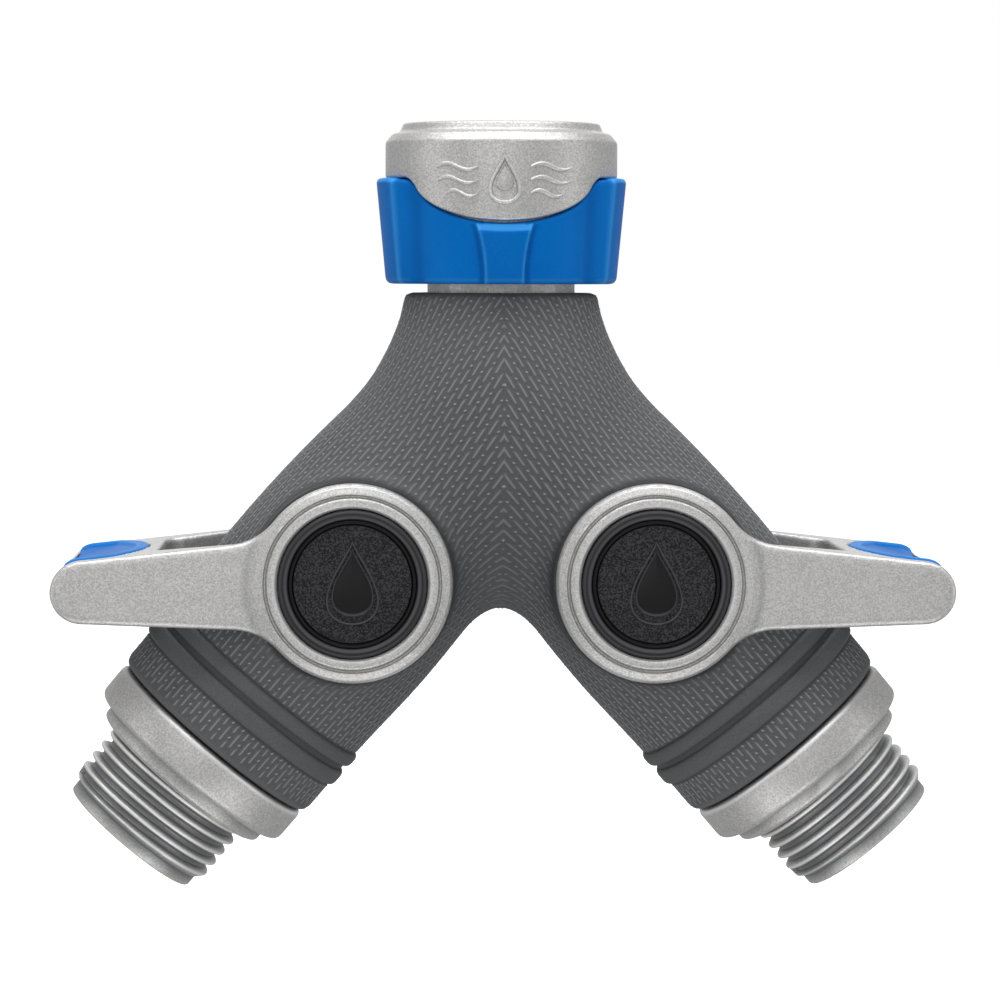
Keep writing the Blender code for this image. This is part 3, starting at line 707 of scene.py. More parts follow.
def wave_outline(length, swing, thickness, steps=24):
    """Upper and lower edge of a tapered wavy stroke along +x, centred on the origin."""
    upper = []
    lower = []
    for step in range(steps + 1):
        share = step / steps
        x = length * (share - 0.5)
        middle = swing * math.sin(math.tau * share)
        half = 0.5 * thickness * math.sin(math.pi * min(1, 0.12 + 0.88 * share)) ** 0.5
        half = max(half, 0.05)
        upper.append((x, middle + half))
        lower.append((x, middle - half))
    return upper, lower


def raised_stroke(upper, lower, place, height):
    """A ridge with rounded shoulders between two edges."""
    across = ((0, SUNK), (0, 0), (0.12, 0.7 * height), (0.35, height), (0.65, height),
              (0.88, 0.7 * height), (1, 0), (1, SUNK))
    vertices = []
    for (ax, ay), (bx, by) in zip(upper, lower):
        vertices.extend(place(ax + (bx - ax) * share, ay + (by - ay) * share, lift)
                        for share, lift in across)
    return vertices, capped_grid(len(upper), len(across))


def raised_patch(outline, place, height, crown):
    """A pillow over a star-shaped outline, in loops from its edge to its middle."""
    loops = [(1, SUNK), (1, 0), (0.96, 0.6 * height), (0.9, 0.92 * height), (0.82, height),
             (0.55, height + 0.7 * crown), (0.28, height + crown)]
    vertices = []
    for scale, lift in loops:
        vertices.extend(place(x * scale, y * scale, lift) for x, y in outline)
    count = len(outline)
    faces = grid_faces(len(loops), count)
    faces.append(tuple(range(count)))
    middle = len(vertices)
    vertices.append(place(0, 0, height + crown))
    last = middle - count
    faces.extend((last + step, last + (step + 1) % count, middle) for step in range(count))
    return vertices, faces


def closed_stroke(outline, width, place, height):
    """A raised line that follows a closed outline, shrunk inward by its width."""
    across = ((0, SUNK), (0, 0), (0.18, 0.8 * height), (0.36, height), (0.64, height),
              (0.82, 0.8 * height), (1, 0), (1, SUNK))
    vertices = []
    reach = max(math.hypot(x, y) for x, y in outline)
    for share, lift in across:
        scale = 1 - share * width / reach
        shift = -0.35 * share * width
        vertices.extend(place(x * scale, y * scale + shift, lift) for x, y in outline)
    return vertices, grid_faces(len(across), len(outline), closed=True)


def on_nut(facing, across, up):
    """What places (x, y, lift) on the nut's outside, round a point at its front or back."""
    def place(x, y, lift):
        angle = (x + across) / NUT_RADIUS
        radius = NUT_RADIUS + lift
        return (-facing * radius * math.sin(angle), facing * radius * math.cos(angle), y + up)
    return place


def nut_marks():
    """A drop between two sets of waves on the nut's front and back."""
    shapes = []
    for facing in (-1, 1):
        place = on_nut(facing, 0, DROP_LEVEL)
        shapes.append(closed_stroke(drop_outline(8.6), 1.2, place, 0.48))
        shapes.append(raised_patch(drop_outline(4.4, 48), place, 0.42, 0.2))
        for side in (-1, 1):
            for level, length in ((37.3, 7.2), (35.2, 7), (33.1, 5.6)):
                place = on_nut(facing, side * (4.1 + length / 2), level)
                shapes.append(raised_stroke(*wave_outline(length, 0.5, 0.85), place, 0.38))
    return join_shapes(*shapes)


def lug_half_width(height):
    share = (height - GRIP_BOTTOM) / (LUG_TOP - GRIP_BOTTOM)
    return 3.05 + 1.45 * np.maximum(0, share) ** 2.2


def grip_radius(turn, height):
    """Outside of the grip: tapered band, wide side wings, small lug at front and back."""
    share = (height - GRIP_BOTTOM) / (APRON_HIGH - GRIP_BOTTOM)
    off_face = from_face(turn)
    off_side = 90 - off_face
    band = GRIP_FOOT_RADIUS + (GRIP_TOP_RADIUS - GRIP_FOOT_RADIUS) * share
    wing = WING_FOOT_RADIUS + (WING_TOP_RADIUS - WING_FOOT_RADIUS) * share
    radius = band + (wing - band) * (1 - unit((off_side - WING_EDGE) / WING_FALL)) ** 1.7
    radius -= 0.4 * bell(off_side, 42, 5.5)
    across = radius * math.sin(math.radians(off_face))
    lug = smooth((lug_half_width(height) + 0.15 - across) / 0.4)
    return radius + 1.25 * lug * unit((LUG_TOP - height) / 1.3) ** 0.8


def grip_profile(turn):
    off_face = from_face(turn)
    top = apron_edge(off_face) - 0.3 + 0.35 * smooth((off_face - 62) / 6)
    rows = 22
    low, high = GRIP_BOTTOM + 1.3, top - 1.2
    edge = [(1.1, GRIP_BOTTOM), (0.62, GRIP_BOTTOM + 0.08), (0.28, GRIP_BOTTOM + 0.3),
            (0.07, GRIP_BOTTOM + 0.65), (0, GRIP_BOTTOM + 1.1)]
    edge += [(0, low + (high - low) * step / rows) for step in range(rows + 1)]
    edge += [(0, top - 1), (0, top - 0.8), (0.03, top - 0.6), (0.12, top - 0.36),
             (0.3, top - 0.15), (0.55, top - 0.02), (0.8, top)]
    outside = [(grip_radius(turn, height) - inset, height) for inset, height in edge]
    return [(GRIP_INNER, GRIP_BOTTOM)] + outside + [(GRIP_INNER, top)]


def grip_tone(points):
    """Painted highlights along the wings' ridges and tops, the lug's edges and top chamfer, and the
    grip's foot; painted shade in the coves beside them.
    """
    across = np.abs(points[:, 0])
    off_side = np.degrees(np.arctan2(np.abs(points[:, 1]), across))
    height = points[:, 2]
    outside = (np.hypot(points[:, 0], points[:, 1]) > GRIP_FOOT_RADIUS - 0.9) * 1
    ridge = 0.55 * bell(off_side, WING_EDGE - 1, 2)
    cove = -0.5 * bell(off_side, 40, 4.5)
    beside = across - lug_half_width(height)
    on_lug = (off_side > 60) & (height < LUG_TOP - 0.1)
    edge = on_lug * (0.6 * bell(beside, -0.1, 0.22) - 0.7 * bell(beside, 0.55, 0.35))
    chamfer = 0.7 * on_lug * (beside < 0) * (height > LUG_TOP - 1.1)
    foot = 0.3 * bell(height, GRIP_BOTTOM + 0.6, 0.3)
    crown = 0.7 * (off_side < WING_EDGE + 0.5) * (height > APRON_HIGH - 0.75)
    return outside * (ridge + cove + edge + chamfer + foot) + crown


def build_swivel(silver, blue):
    nut = join_shapes(shaped_lathe(nut_profile, 1.5), nut_thread(), nut_marks())
    make_piece("nut_shell", nut, JUNCTION, silver, "swivel", "silver", "swivel_nut", 32)
    make_piece("grip_collar", shaped_lathe(grip_profile, 0.75), JUNCTION, blue, "swivel",
               "grip_blue", "swivel_grip", 50, tone=grip_tone)


# Outlet fittings

def threaded_fitting(before, after, segments=96):
    """An outline turned about Z, with a helical thread between its two parts."""
    profile = ((0, 0), (0.08, 0.06), (0.22, 0.66), (0.29, 0.90), (0.37, 1), (0.47, 1),
               (0.55, 0.90), (0.62, 0.66), (0.76, 0.06), (0.84, 0))
    per_turn = len(profile)
    rows = int(THREAD_TURNS * per_turn)
    vertices = []
    faces = []

    def add_ring(radius, height):
        first = len(vertices)
        vertices.extend(ring(radius, height, segments))
        return [first + step % segments for step in range(segments + 1)]

    def add_band(lower, upper):
        for step in range(segments):
            faces.append((lower[step], lower[step + 1], upper[step + 1], upper[step]))

    def thread_point(row, step):
        share, rise = profile[row % per_turn]
        turn = row // per_turn + share + step / segments
        fade = max(0, min(1, 3 * turn, 3 * (THREAD_TURNS + 0.8 - turn)))
        radius = THREAD_ROOT + (THREAD_CREST - THREAD_ROOT) * rise * fade
        angle = math.tau * step / segments
        vertices.append((radius * math.cos(angle), radius * math.sin(angle),
                         THREAD_START + THREAD_PITCH * turn))
        return len(vertices) - 1

    lower_rings = [add_ring(*point) for point in before]
    upper_rings = [add_ring(*point) for point in after]
    for rings in (lower_rings, upper_rings):
        for first, second in zip(rings, rings[1:]):
            add_band(first, second)
    add_band(upper_rings[-1], lower_rings[0])
    helix = [[thread_point(row, step) for step in range(segments)] for row in range(rows)]
    for row in range(rows):
        following = row + per_turn
        helix[row].append(helix[following][0] if following < rows else thread_point(row, segments))
    for lower, upper in zip(helix, helix[1:]):
        add_band(lower, upper)
    base = lower_rings[-1]
    lip = upper_rings[0]
    for step in range(segments - 1):
        faces.append((base[step], base[step + 1], helix[0][step + 1], helix[0][step]))
        faces.append((helix[-1][step + 1], helix[-1][step + 2], lip[step + 2], lip[step + 1]))
    entry = [helix[row][0] for row in range(per_turn + 1)]
    faces.append((base[segments - 1], base[segments], *entry, helix[0][segments - 1]))
    runout = [helix[row][segments] for row in range(rows - per_turn, rows)]
    faces.append((helix[-1][0], helix[-1][1], lip[1], lip[0], *reversed(runout)))
    return vertices, faces


def outlet_tone(points):
    """In the thread, painted shade in the roots and painted highlights on the crests; a painted
    highlight at the flange's corner and painted shade at the step.
    """
    radius = np.hypot(points[:, 0], points[:, 1])
    reach = points[:, 2]
    in_thread = (reach > 43.5) & (reach < 54.6) & (radius > 11)
    crest = unit((radius - THREAD_ROOT) / (THREAD_CREST - THREAD_ROOT))
    valley = -unit(1 - crest / 0.75)
    corner = bell(reach, 35.4, 0.35) * (radius > 17.5)
    step = -0.6 * bell(reach, 41.5, 0.35) * (radius < 17)
    return np.where(in_thread, valley + 0.8 * (crest > 0.95), corner + step)


def build_outlet(name, silver):
    before = rounded([(7.5, 9.6), (10.8, 9.6, 0.3), (10.8, 28.6), (9.1, 28.6), (9.1, 30.6),
                      (10.8, 30.6), (10.8, 35), (18.6, 35, 1), (18.55, 41.15, 1.3),
                      (15.95, 41.35, 0.15), (15.95, 43.3, 0.75), (14.9, 43.75, 0.3), (14.6, 43.8),
                      (12.6, 43.85, 0.3), (THREAD_ROOT, 43.95)], steps=5)
    after = rounded([(THREAD_ROOT, 54.2), (THREAD_ROOT, OUTLET_END, 0.4),
                     (10.1, OUTLET_END, 0.25), (10.1, 40.4), (7.5, 36.9)], steps=3)
    make_piece(f"{name}_outlet_thread", threaded_fitting(before, after), leg_frame(name), silver,
               "body", "silver", f"{name}_outlet_fitting", 38, tone=outlet_tone)


# Levers

def lever_side():
    """Side view of the lever, tip toward +X: hub disc, concave fillets, tapering arm, round tip."""
    slope = math.atan(ARM_TAPER)
    reach = HUB_RADIUS + FILLET_RADIUS
    rise = ARM_HALF_HEIGHT + FILLET_RADIUS / math.cos(slope)
    a = 1 + ARM_TAPER ** 2
    b = -2 * rise * ARM_TAPER
    c = rise ** 2 - reach ** 2
    fillet_x = (-b + math.sqrt(b * b - 4 * a * c)) / (2 * a)
    fillet_z = rise - ARM_TAPER * fillet_x
    bearing = math.degrees(math.atan2(fillet_z, fillet_x))
    tip_slope = math.degrees(slope)
    hub = arc((0, 0), HUB_RADIUS, bearing, 360 - bearing, 60)
    low_fillet = arc((fillet_x, -fillet_z), FILLET_RADIUS, 180 - bearing, 90 + tip_slope, 12)
    tip = arc((LEVER_LENGTH - TIP_RADIUS, 0), TIP_RADIUS, -90 + tip_slope, 90 - tip_slope, 20)
    high_fillet = [(x, -z) for x, z in reversed(low_fillet)]
    return hub + low_fillet[1:] + tip + high_fillet[:-1]


def lever_slot():
    """Top view of the opening between the arms, running out past the hub."""
    side = -LEVER_INNER - 0.1
    corner = arc((SLOT_END - SLOT_CORNER, -12.2), SLOT_CORNER, -90, 0, 8)
    half = [(-20, side), (17.4, side)] + corner
    return half + [(x, -y) for x, y in reversed(half)]


def pad_outline(margin):
    """Plan of the thumb pad, grown by margin: a shallow arc toward the hub, a flat tip end."""
    bow_x = PAD_START + PAD_BOW_RADIUS
    reach = PAD_BOW_RADIUS - PAD_CORNER
    corner_y = PAD_HALF_WIDTH - PAD_CORNER
    corner_x = bow_x - math.sqrt(reach ** 2 - corner_y ** 2)
    bearing = math.degrees(math.asin(corner_y / reach))
    bow = arc((bow_x, 0), PAD_BOW_RADIUS + margin, 180 + bearing, 180 - bearing, 40)
    corner = arc((corner_x, corner_y), PAD_CORNER + margin, 180 - bearing, 90, 6)[1:]
    half_width = PAD_HALF_WIDTH + margin
    side = [(x, half_width) for x in np.linspace(corner[-1][0], PAD_END + margin, 9)[1:]]
    half = corner + side
    end = [(PAD_END + margin, y) for y in np.linspace(half_width, -half_width, 40)[1:-1]]
    return [(x, -y) for x, y in reversed(half)] + bow + half + end


LEVER_SIDE = lever_side()
LEVER_SLOT = lever_slot()
PAD_POCKET = pad_outline(0.15)
LEVER_BOX = ((-16.9, -24.2, -16.9), (48.7, 24.2, 16.9))


def hub_face(from_hub):
    """Depth of the lever's front face: the arm's flat rises to the hub's bevel."""
    return ARM_FACE + 1.15 * unit((16.8 - from_hub) / 2.7) ** 1.3


def lever_values(side, slot, pocket, x, y, z):
    """The lever's field at x, y, z, from the distances to its side, slot and pad pocket."""
    depth = np.abs(y)
    from_hub = np.hypot(x, z)
    arms = round_max(side, depth - hub_face(from_hub), EDGE_ROUND)
    body = round_max(arms, -slot, 0.6)
    seat = np.maximum(from_hub - COLLAR_SEAT_RADIUS, COLLAR_SEAT_FACE - depth)
    recess = np.maximum(from_hub - CAP_RADIUS - 0.6, LEVER_WEB - depth)
    pocket = np.maximum(pocket, PAD_BASE - 0.1 - z)
    return np.maximum(np.maximum(np.maximum(body, -seat), -recess), -pocket)


def lever_field(points):
    x, y, z = points.T
    return lever_values(outline_distance(x, z, LEVER_SIDE), outline_distance(x, y, LEVER_SLOT),
                        outline_distance(x, y, PAD_POCKET), x, y, z)


def lever_body():
    axes = [np.arange(low, high, NET_STEP) for low, high in zip(*LEVER_BOX)]
    xz = np.meshgrid(axes[0], axes[2], indexing="ij")
    xy = np.meshgrid(axes[0], axes[1], indexing="ij")
    values = lever_values(outline_distance(*xz, LEVER_SIDE)[:, None, :],
                          outline_distance(*xy, LEVER_SLOT)[:, :, None],
                          outline_distance(*xy, PAD_POCKET)[:, :, None],
                          *np.meshgrid(*axes, indexing="ij"))
    vertices, faces = surface_net(values, LEVER_BOX[0], NET_STEP)
    return settle(lever_field, vertices), faces


def hub_collar(facing):
    """The raised inner collar round the cap, its groove, and the inner part of the hub's bevel."""
    bevel = [(radius, hub_face(radius) + 0.03) for radius in np.arange(15.25, 14.3, -0.15)]
    shoulder = rounded([(14.35, hub_face(14.35) + 0.03), (14.08, 23.34, 0.12),
                        (13.95, 22.85, 0.12), (13.6, 22.85, 0.15), (13.45, LEVER_OUTER - 0.02, 0.5),
                        (CAP_RADIUS + 0.6, LEVER_OUTER, 0.2),
                        (CAP_RADIUS + 0.15, LEVER_OUTER - 0.35, 0.1),
                        (CAP_RADIUS + 0.15, LEVER_WEB - 0.2)], steps=5)
    outline = [(15.45, LEVER_WEB - 0.2), (15.45, hub_face(15.45) - 0.25)] + bevel + shoulder
    vertices, faces = lathe(outline, 180)
    turned = [(x, facing * z, facing * y) for x, y, z in vertices]
    return turned, [tuple(reversed(face)) for face in faces]


def lever_tone(points):
    """Painted highlight on the hub's bevel next to the cap, painted shade in the groove round the
    collar and at the arm's foot beside the hub.
    """
    radius = np.hypot(points[:, 0], points[:, 2])
    depth = np.abs(points[:, 1])
    bevel = bell(radius, CAP_RADIUS + 0.35, 0.3) * (depth > 22.9)
    groove = -0.4 * (np.abs(radius - 13.78) < 0.3) * (depth < 23.2) * (depth > 22)
    foot = -0.35 * bell(radius, 16.9, 0.5) * (points[:, 0] > 12) * (depth > 21.9)
    return 0.85 * bevel + groove + foot


def build_lever(name, shape, silver):
    whole = join_shapes(shape, hub_collar(-1), hub_collar(1))
    make_piece(f"{name}_lever_casting", whole, lever_frame(name), silver, f"{name}_valve",
               "silver", f"{name}_lever", 48, tone=lever_tone)


def lever_top(x):
    """Height of the lever's upper surface at a distance from the hub."""
    tip_x = LEVER_LENGTH - TIP_RADIUS
    if x < tip_x + 0.36:
        return ARM_HALF_HEIGHT - ARM_TAPER * x
    return math.sqrt(max(0, TIP_RADIUS ** 2 - (x - tip_x) ** 2))


def dish_depth(x, y):
    """How far the pad's top lies below its rim: a scoop with a steep wall, open at the tip."""
    to_bow = np.hypot(x - PAD_START - PAD_BOW_RADIUS, y)
    inset = np.minimum(PAD_BOW_RADIUS - to_bow, PAD_HALF_WIDTH - np.abs(y)) - 1.5
    return 0.62 * smooth(inset / 1.3) + 0.75 * smooth(inset / 9)


def pad_shape():
    """Thumb pad: side wall, rounded rim, and a scooped top that runs out over the tip."""
    outline = pad_outline(0)
    vertices = [(x, y, PAD_BASE) for x, y in outline]
    rim = ((0, -0.3), (0.12, 0.05), (0.4, 0.26), (0.9, PAD_LIFT), (1.4, PAD_LIFT),
           (1.7, PAD_LIFT))
    loops = [(np.array(pad_outline(-inset)), lift) for inset, lift in rim]
    last = loops[-1][0]
    middle = np.array([PAD_START + 7, 0])
    for share in [0.035 * step for step in range(1, 24)] + [0.87, 0.95]:
        loops.append((last + (middle - last) * share, PAD_LIFT))
    for loop, lift in loops:
        for x, y in loop:
            height = lever_top(x) + lift - dish_depth(x, y)
            vertices.append((x, y, max(PAD_BASE + 0.1, height)))
    return vertices, capped_grid(len(loops) + 1, len(outline))


def pad_tone(points):
    """Painted highlights on the rim and on the upper edge of the dish, painted shade in the dish.
    """
    inset = -outline_distance(points[:, 0], points[:, 1], pad_outline(0))
    dish = dish_depth(points[:, 0], points[:, 1])
    lip = 0.6 * bell(dish, 0.1, 0.12) * (inset > 0.9)
    return 0.5 * bell(inset, 0.5, 0.3) + lip - 0.4 * unit(dish - 0.4)


def build_pad(name, blue):
    make_piece(f"{name}_thumb_rest", pad_shape(), lever_frame(name), blue, f"{name}_valve",
               "grip_blue", f"{name}_thumb_pad", 50, tone=pad_tone)


# Caps

def cap_shape():
    """Round rim, groove, and a sunk disc with a raised drop in a low ring."""
    outline = rounded([(0, 22.8), (11.4, 22.8), (11.4, 21.8), (CAP_RADIUS, 21.8),
                       (CAP_RADIUS, CAP_RIM, 0.7), (10.2, CAP_RIM, 0.6), (10, 22.95, 0.25),
                       (9.45, 22.95, 0.25), (9.25, CAP_FLOOR, 0.15), (0, CAP_FLOOR)], steps=6)

    def place(x, y, lift):
        return (x, y + DROP_SHIFT, CAP_FLOOR + lift)

    drop = raised_patch(drop_outline(10.8), place, 0.42, 0.14)
    edge = closed_stroke(drop_outline(13.4), 0.5, place, 0.22)
    return join_shapes(lathe(outline, 144), drop, edge)


def cap_tone(points):
    """Worn bright on the sunk disc's grain, painted shade in the groove, even elsewhere."""
    radius = np.hypot(points[:, 0], points[:, 1])
    field = (radius < 9.3) & (np.abs(points[:, 2] - CAP_FLOOR) < 0.02)
    groove = (radius > 9.3) & (radius < 10.15) & (points[:, 2] < CAP_FLOOR - 0.05)
    return field.astype(float) - groove


def cap_highlight(points):
    """Painted highlights on the top of the rim and along the raised lines of the drop."""
    radius = np.hypot(points[:, 0], points[:, 1])
    height = points[:, 2]
    rim = bell(radius, 10.55, 0.22) + 0.6 * bell(radius, 11.3, 0.2)
    line = 0.8 * (radius < 9) * (height > CAP_FLOOR + 0.15) * (height < CAP_FLOOR + 0.34)
    return rim * (height > 23.5) + line


def build_caps(name, black):
    for face, facing in (("front", -1), ("rear", 1)):
        place = hub_frame(name, facing)
        if facing > 0:
            place = place @ Matrix.Rotation(math.pi, 4, "Z")
        make_piece(f"{name}_{face}_plug", cap_shape(), place, black, f"{name}_valve",
                   "rubber_black", f"{name}_{face}_cap", 38, tone=cap_tone, edge=cap_highlight)


# Materials

class Surface:
    """A Principled material, with short calls that make its nodes.

    Constants are set on the shader's own sockets. An input given as another node's socket is
    linked, and any other input is set.
    """

    def __init__(self, name, **constants):
        self.material = bpy.data.materials.new(name)
        self.material.use_nodes = True
        self.tree = self.material.node_tree
        self.shader = self.tree.nodes["Principled BSDF"]
        for socket, value in constants.items():
            self.plug(self.shader.inputs[socket.replace("_", " ")], value)

    def plug(self, socket, value):
        if isinstance(value, bpy.types.NodeSocket):
            self.tree.links.new(value, socket)
        else:
            socket.default_value = value

    def node(self, kind, **inputs):
        made = self.tree.nodes.new("ShaderNode" + kind)
        for socket, value in inputs.items():
            self.plug(made.inputs[socket.replace("_", " ")], value)
        return made

    def place(self):
        return self.node("TexCoord").outputs["Object"]

    def noise(self, scale, detail=2, rough=0.5):
        return self.node("TexNoise", Vector=self.place(), Scale=scale, Detail=detail,
                         Roughness=rough).outputs["Fac"]

    def cells(self, scale):
        """A random value for each small cell."""
        cell = self.node("TexVoronoi", Vector=self.place(), Scale=scale)
        return self.node("SeparateColor", Color=cell.outputs["Color"]).outputs["Red"]

    def stored(self, name):
        """A value stored at the vertices."""
        made = self.node("Attribute")
        made.attribute_name = name
        return made.outputs["Fac"]

    def spread(self, value, low, high, to_low=0, to_high=1):
        return self.node("MapRange", Value=value, From_Min=low, From_Max=high, To_Min=to_low,
                         To_Max=to_high).outputs["Result"]

    def math(self, operation, first, second):
        made = self.node("Math")
        made.operation = operation
        self.plug(made.inputs[0], first)
        self.plug(made.inputs[1], second)
        return made.outputs["Value"]

    def weigh(self, first, share, second, other_share):
        return self.math("ADD", self.math("MULTIPLY", first, share),
                         self.math("MULTIPLY", second, other_share))

    def grained(self, fine, share, broad, dark, light, rough):
        """A fine noise, and the colour and roughness that it gives with a broad one."""
        speck = self.noise(*fine)
        mixed = self.weigh(speck, share, self.noise(*broad), 1 - share)
        colour = self.blend(self.spread(mixed, 0.3, 0.7), dark, light)
        return speck, colour, self.spread(mixed, 0.3, 0.7, *rough)

    def blend(self, share, first, second):
        """From the first colour to the second. Each is (r, g, b) or a socket."""
        made = self.node("Mix")
        made.data_type = "RGBA"
        self.plug(made.inputs[0], share)
        for index, colour in ((6, first), (7, second)):
            self.plug(made.inputs[index], (*colour, 1) if isinstance(colour, tuple) else colour)
        return made.outputs[2]

    def toned(self, colour, dark, light, dark_share, light_share=1):
        """The colour, blended toward dark and light by the stored tone, -1 to 1: mostly painted
        shade and painted highlights.
        """
        tone = self.stored("tone")
        colour = self.blend(self.spread(tone, -1, 0, dark_share, 0), colour, dark)
        return self.blend(self.spread(tone, 0, 1, 0, light_share), colour, light)

    def finish(self, colour, rough, height, strength, distance):
        self.plug(self.shader.inputs["Base Color"], colour)
        self.plug(self.shader.inputs["Roughness"], rough)
        made = self.node("Bump", Height=height, Strength=strength, Distance=distance)
        self.plug(self.shader.inputs["Normal"], made.outputs["Normal"])
        return self.material


def silver_paint():
    paint = Surface("silver_paint", Metallic=0.75, IOR=1.5)
    flake = paint.weigh(paint.cells(5600), 0.45, paint.noise(5200, 2, 0.6), 0.55)
    shade = paint.math("ADD", flake, paint.spread(paint.noise(70), 0.3, 0.7, -0.03, 0.03))
    colour = paint.blend(paint.spread(shade, 0.28, 0.72), (0.45, 0.445, 0.441),
                         (0.70, 0.693, 0.688))
    # Convex edges painted near-white: a painted highlight
    convex_highlight = paint.spread(paint.node("NewGeometry").outputs["Pointiness"], 0.52, 0.62)
    colour = paint.blend(paint.math("MULTIPLY", convex_highlight, 0.6), colour, (0.95, 0.95, 0.945))
    # Painted shade and painted highlights from the stored tone
    colour = paint.toned(colour, (0.15, 0.16, 0.165), (0.96, 0.96, 0.955), 0.85)
    return paint.finish(colour, paint.spread(shade, 0.1, 0.9, 0.52, 0.40), flake, 0.25, 0.00005)


def grey_rubber():
    rubber = Surface("grey_rubber", Metallic=0, IOR=1.45, Specular_IOR_Level=0.3)
    speck, colour, rough = rubber.grained((4200, 3, 0.7), 0.75, (45, 3),
                                          (0.074, 0.076, 0.079), (0.130, 0.132, 0.136),
                                          (0.66, 0.52))
    # The raised relief is painted lighter, the dots lightest: partly rubbed wear, partly a painted
    # highlight
    relief = rubber.stored("relief")
    colour = rubber.blend(rubber.spread(relief, 0.08, 0.6), colour, (0.172, 0.177, 0.186))
    colour = rubber.blend(rubber.spread(relief, 0.7, 1.2), colour, (0.40, 0.41, 0.42))
    # Painted shadow round the hubs, painted shade beside the bands and a painted highlight near the
    # end, from the stored tone
    colour = rubber.toned(colour, (0.012, 0.012, 0.013), (0.2, 0.2, 0.205), 0.85)
    return rubber.finish(colour, rough, speck, 0.35, 0.00006)


def blue_grip():
    grip = Surface("blue_grip", Metallic=0, IOR=1.45, Specular_IOR_Level=0.06)
    speck, colour, rough = grip.grained((4200, 3, 0.65), 0.6, (80,),
                                        (0.0005, 0.124, 0.46), (0.001, 0.172, 0.58), (0.46, 0.36))
    # Painted shade and painted highlights on the grip and the pads, from the stored tone
    colour = grip.toned(colour, (0, 0.065, 0.29), (0.05, 0.33, 0.80), 0.8)
    return grip.finish(colour, rough, speck, 0.3, 0.00005)


def black_rubber():
    """Glossy rim and drop with painted highlights along their edges, painted shade in the groove,
    and dusty grain where the stored tone is above 0.
    """
    rubber = Surface("black_rubber", Metallic=0, IOR=1.5, Specular_IOR_Level=0.25)
    grain = rubber.cells(5200)
    speck = rubber.noise(4200, 2, 0.6)
    field = rubber.spread(rubber.stored("tone"), 0, 1)
    colour = rubber.blend(speck, (0.003, 0.003, 0.004), (0.008, 0.008, 0.009))
    dusty = rubber.math("MULTIPLY", field, rubber.spread(grain, 0.4, 0.75, 0, 0.95))
    colour = rubber.blend(dusty, colour, (0.055, 0.055, 0.06))
    # Painted shade in the groove, where the tone is -1, and a slight lightening of the grainy disc
    colour = rubber.toned(colour, (0.002, 0.002, 0.002), (0.012, 0.012, 0.013), 1, 0.15)
    # Painted highlights along the rim and the drop's raised lines
    edge = rubber.spread(rubber.stored("edge"), 0, 1, 0, 0.8)
    colour = rubber.blend(edge, colour, (0.1, 0.1, 0.108))
    rough = rubber.math("ADD", rubber.spread(field, 0, 1, 0.3, 0.55),
                        rubber.math("MULTIPLY", speck, 0.1))
    return rubber.finish(colour, rough, rubber.weigh(grain, field, speck, 0.15), 0.6, 0.00012)


def turned_metal(name, dark, light, rough):
    """Machined metal with fine scratches and faint stains."""
    metal = Surface(name, Metallic=1)
    scratch, colour, rough = metal.grained((5000, 2, 0.7), 0.35, (220, 4, 0.6), dark,
                                           light, rough)
    return metal.finish(colour, rough, scratch, 0.15, 0.00004)


def moulded(name, dark, light, rough, scale):
    """Plain moulded rubber or plastic with a fine surface."""
    skin = Surface(name, Metallic=0, IOR=1.48)
    speck, colour, rough = skin.grained((scale, 3, 0.6), 0.6, (scale / 20,), dark, light, rough)
    return skin.finish(colour, rough, speck, 0.25, 0.00006)


def pale_floor():
    floor = Surface("pale_floor", Metallic=0, Roughness=0.9, Emission_Strength=0.95)
    pale = floor.blend(floor.noise(30, 3), (0.88, 0.88, 0.88), (0.92, 0.92, 0.92))
    floor.plug(floor.shader.inputs["Base Color"], pale)
    floor.plug(floor.shader.inputs["Emission Color"], pale)
    return floor.material


def paint_frame(materials):
    """Materials for the CAD nodes that no piece replaces, by the ends of their names."""
    for name, node in frame["nodes"].items():
        for ending, material in materials.items():
            if name.endswith(ending):
                node.data.materials.clear()
                node.data.materials.append(material)
        node.data.shade_smooth()
        node.data.set_sharp_from_angle(angle=math.radians(35))


# Stage

CAMERA_TARGET = Vector((-0.08 * MM, 0.0, -60.8 * MM))
CAMERA_DISTANCE = 665.0 * MM
CAMERA_AZIMUTH = -1.7
CAMERA_ELEVATION = 3.2
CAMERA_ROLL = 0.15
CAMERA_LENS = 147.6
FLOOR_DROP = 60.0 * MM
FLOOR_HALF = 6.0
LIGHT_STRENGTH = 0.45
BACKDROP_STRENGTH = 1.0

# Name, place and sizes in metres, and power
LIGHTS = (("top_box", (0.0, -0.10, 0.50), 0.9, 0.5, 3.7),
          ("front_box", (-0.10, -0.90, 0.20), 0.7, 0.7, 1.25),
          ("left_strip", (-0.60, -0.20, -0.05), 0.25, 0.6, 0.45),
          ("right_strip", (0.60, -0.20, -0.05), 0.25, 0.6, 0.45),
          ("low_box", (0, -0.35, -0.55), 0.7, 0.4, 1.15),
          ("back_box", (0, 0.85, 0.30), 0.8, 0.6, 1))


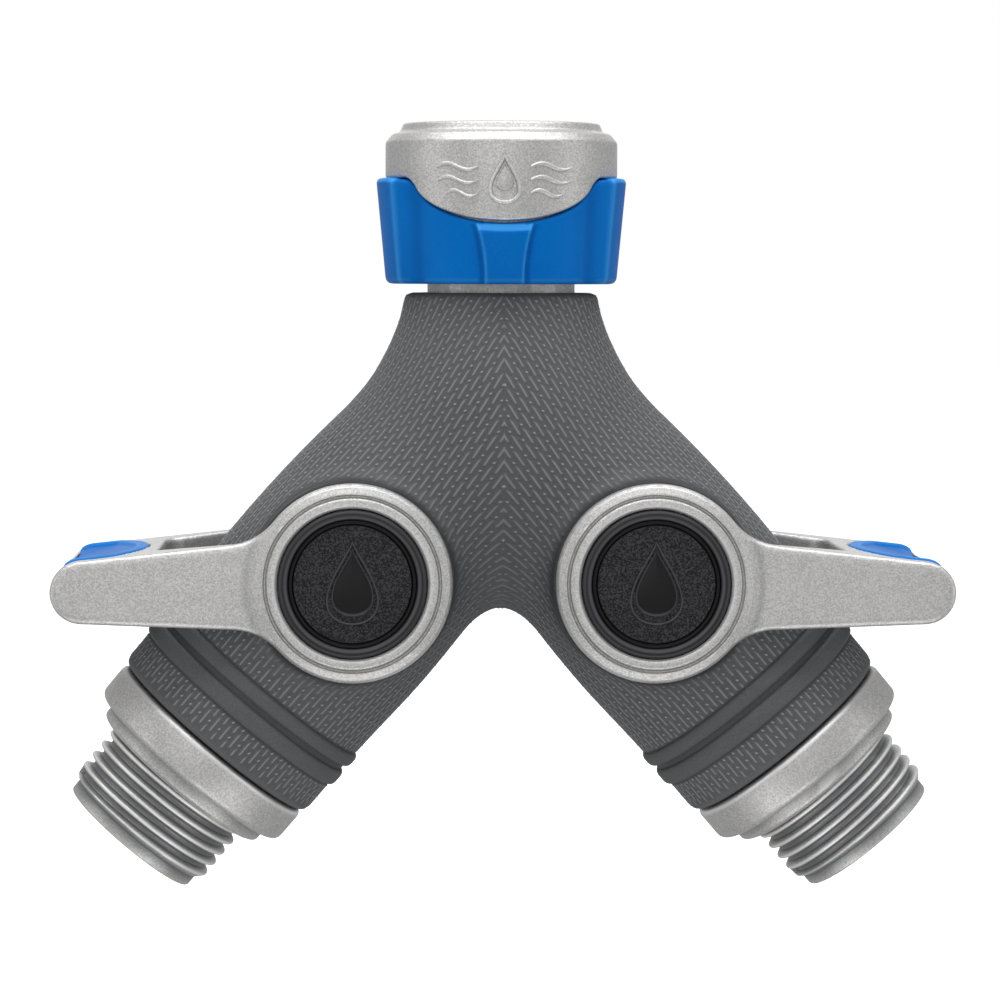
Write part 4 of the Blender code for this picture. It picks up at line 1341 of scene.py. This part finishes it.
def build_camera():
    camera = bpy.data.cameras.new("camera")
    camera.lens = CAMERA_LENS
    camera.sensor_width = 36
    camera.clip_start = 0.01
    camera.clip_end = 50
    item = link_object("camera", camera)
    azimuth = math.radians(CAMERA_AZIMUTH)
    elevation = math.radians(CAMERA_ELEVATION)
    back = Vector((math.sin(azimuth) * math.cos(elevation),
                   -math.cos(azimuth) * math.cos(elevation), math.sin(elevation)))
    item.location = CAMERA_TARGET + back * CAMERA_DISTANCE
    item.rotation_mode = "QUATERNION"
    roll = Quaternion((0, 0, 1), math.radians(CAMERA_ROLL))
    item.rotation_quaternion = (-back).to_track_quat("-Z", "Y") @ roll
    bpy.context.scene.camera = item


def build_lights():
    for name, place, width, height, power in LIGHTS:
        light = bpy.data.lights.new(name, "AREA")
        light.shape = "RECTANGLE"
        light.size = width
        light.size_y = height
        light.energy = power
        item = link_object(name, light)
        item.location = place
        item.rotation_mode = "QUATERNION"
        item.rotation_quaternion = (CAMERA_TARGET - Vector(place)).to_track_quat("-Z", "Y")
        item.visible_camera = False


def build_floor():
    height = cad_box[0].z - FLOOR_DROP
    corners = [(x * FLOOR_HALF, y * FLOOR_HALF, height)
               for x, y in ((-1, -1), (1, -1), (1, 1), (-1, 1))]
    mesh = bpy.data.meshes.new("floor")
    mesh.from_pydata(corners, [], [(0, 1, 2, 3)])
    mesh.materials.append(pale_floor())
    floor = link_object("floor", mesh)
    floor.visible_diffuse = False
    floor.visible_glossy = False


def build_world():
    """A white backdrop, which lights the object less than it shows."""
    world = bpy.data.worlds.new("studio")
    world.use_nodes = True
    tree = world.node_tree
    choose = tree.nodes.new("ShaderNodeMixShader")
    path = tree.nodes.new("ShaderNodeLightPath")
    tree.links.new(path.outputs["Is Camera Ray"], choose.inputs[0])
    for strength, socket in ((LIGHT_STRENGTH, choose.inputs[1]),
                             (BACKDROP_STRENGTH, choose.inputs[2])):
        white = tree.nodes.new("ShaderNodeBackground")
        white.inputs["Color"].default_value = (1, 1, 1, 1)
        white.inputs["Strength"].default_value = strength
        tree.links.new(white.outputs[0], socket)
    tree.links.new(choose.outputs[0], tree.nodes["World Output"].inputs["Surface"])
    bpy.context.scene.world = world
    bpy.context.scene.view_settings.view_transform = "Standard"


def build():
    silver = silver_paint()
    rubber = grey_rubber()
    blue = blue_grip()
    black = black_rubber()
    build_camera()
    build_floor()
    build_world()
    build_lights()
    build_skin(rubber)
    build_swivel(silver, blue)
    lever = lever_body()
    for name in SIDES:
        build_outlet(name, silver)
        build_lever(name, lever, silver)
        build_pad(name, blue)
        build_caps(name, black)
    seal = moulded("seal_rubber", (0.012, 0.012, 0.013), (0.028, 0.028, 0.03), (0.7, 0.55), 1500)
    seat = moulded("seat_plastic", (0.68, 0.68, 0.65), (0.80, 0.80, 0.77), (0.45, 0.32), 900)
    steel = turned_metal("turned_steel", (0.36, 0.36, 0.355), (0.55, 0.55, 0.54), (0.38, 0.22))
    brass = turned_metal("turned_brass", (0.42, 0.26, 0.08), (0.62, 0.42, 0.15), (0.42, 0.25))
    paint_frame({"housing": silver, "washer": seal, "o_ring": seal, "seat": seat, "screw": steel,
                 "ball": steel, "tailpiece": brass, "stem": brass, "pivot": brass})


build()
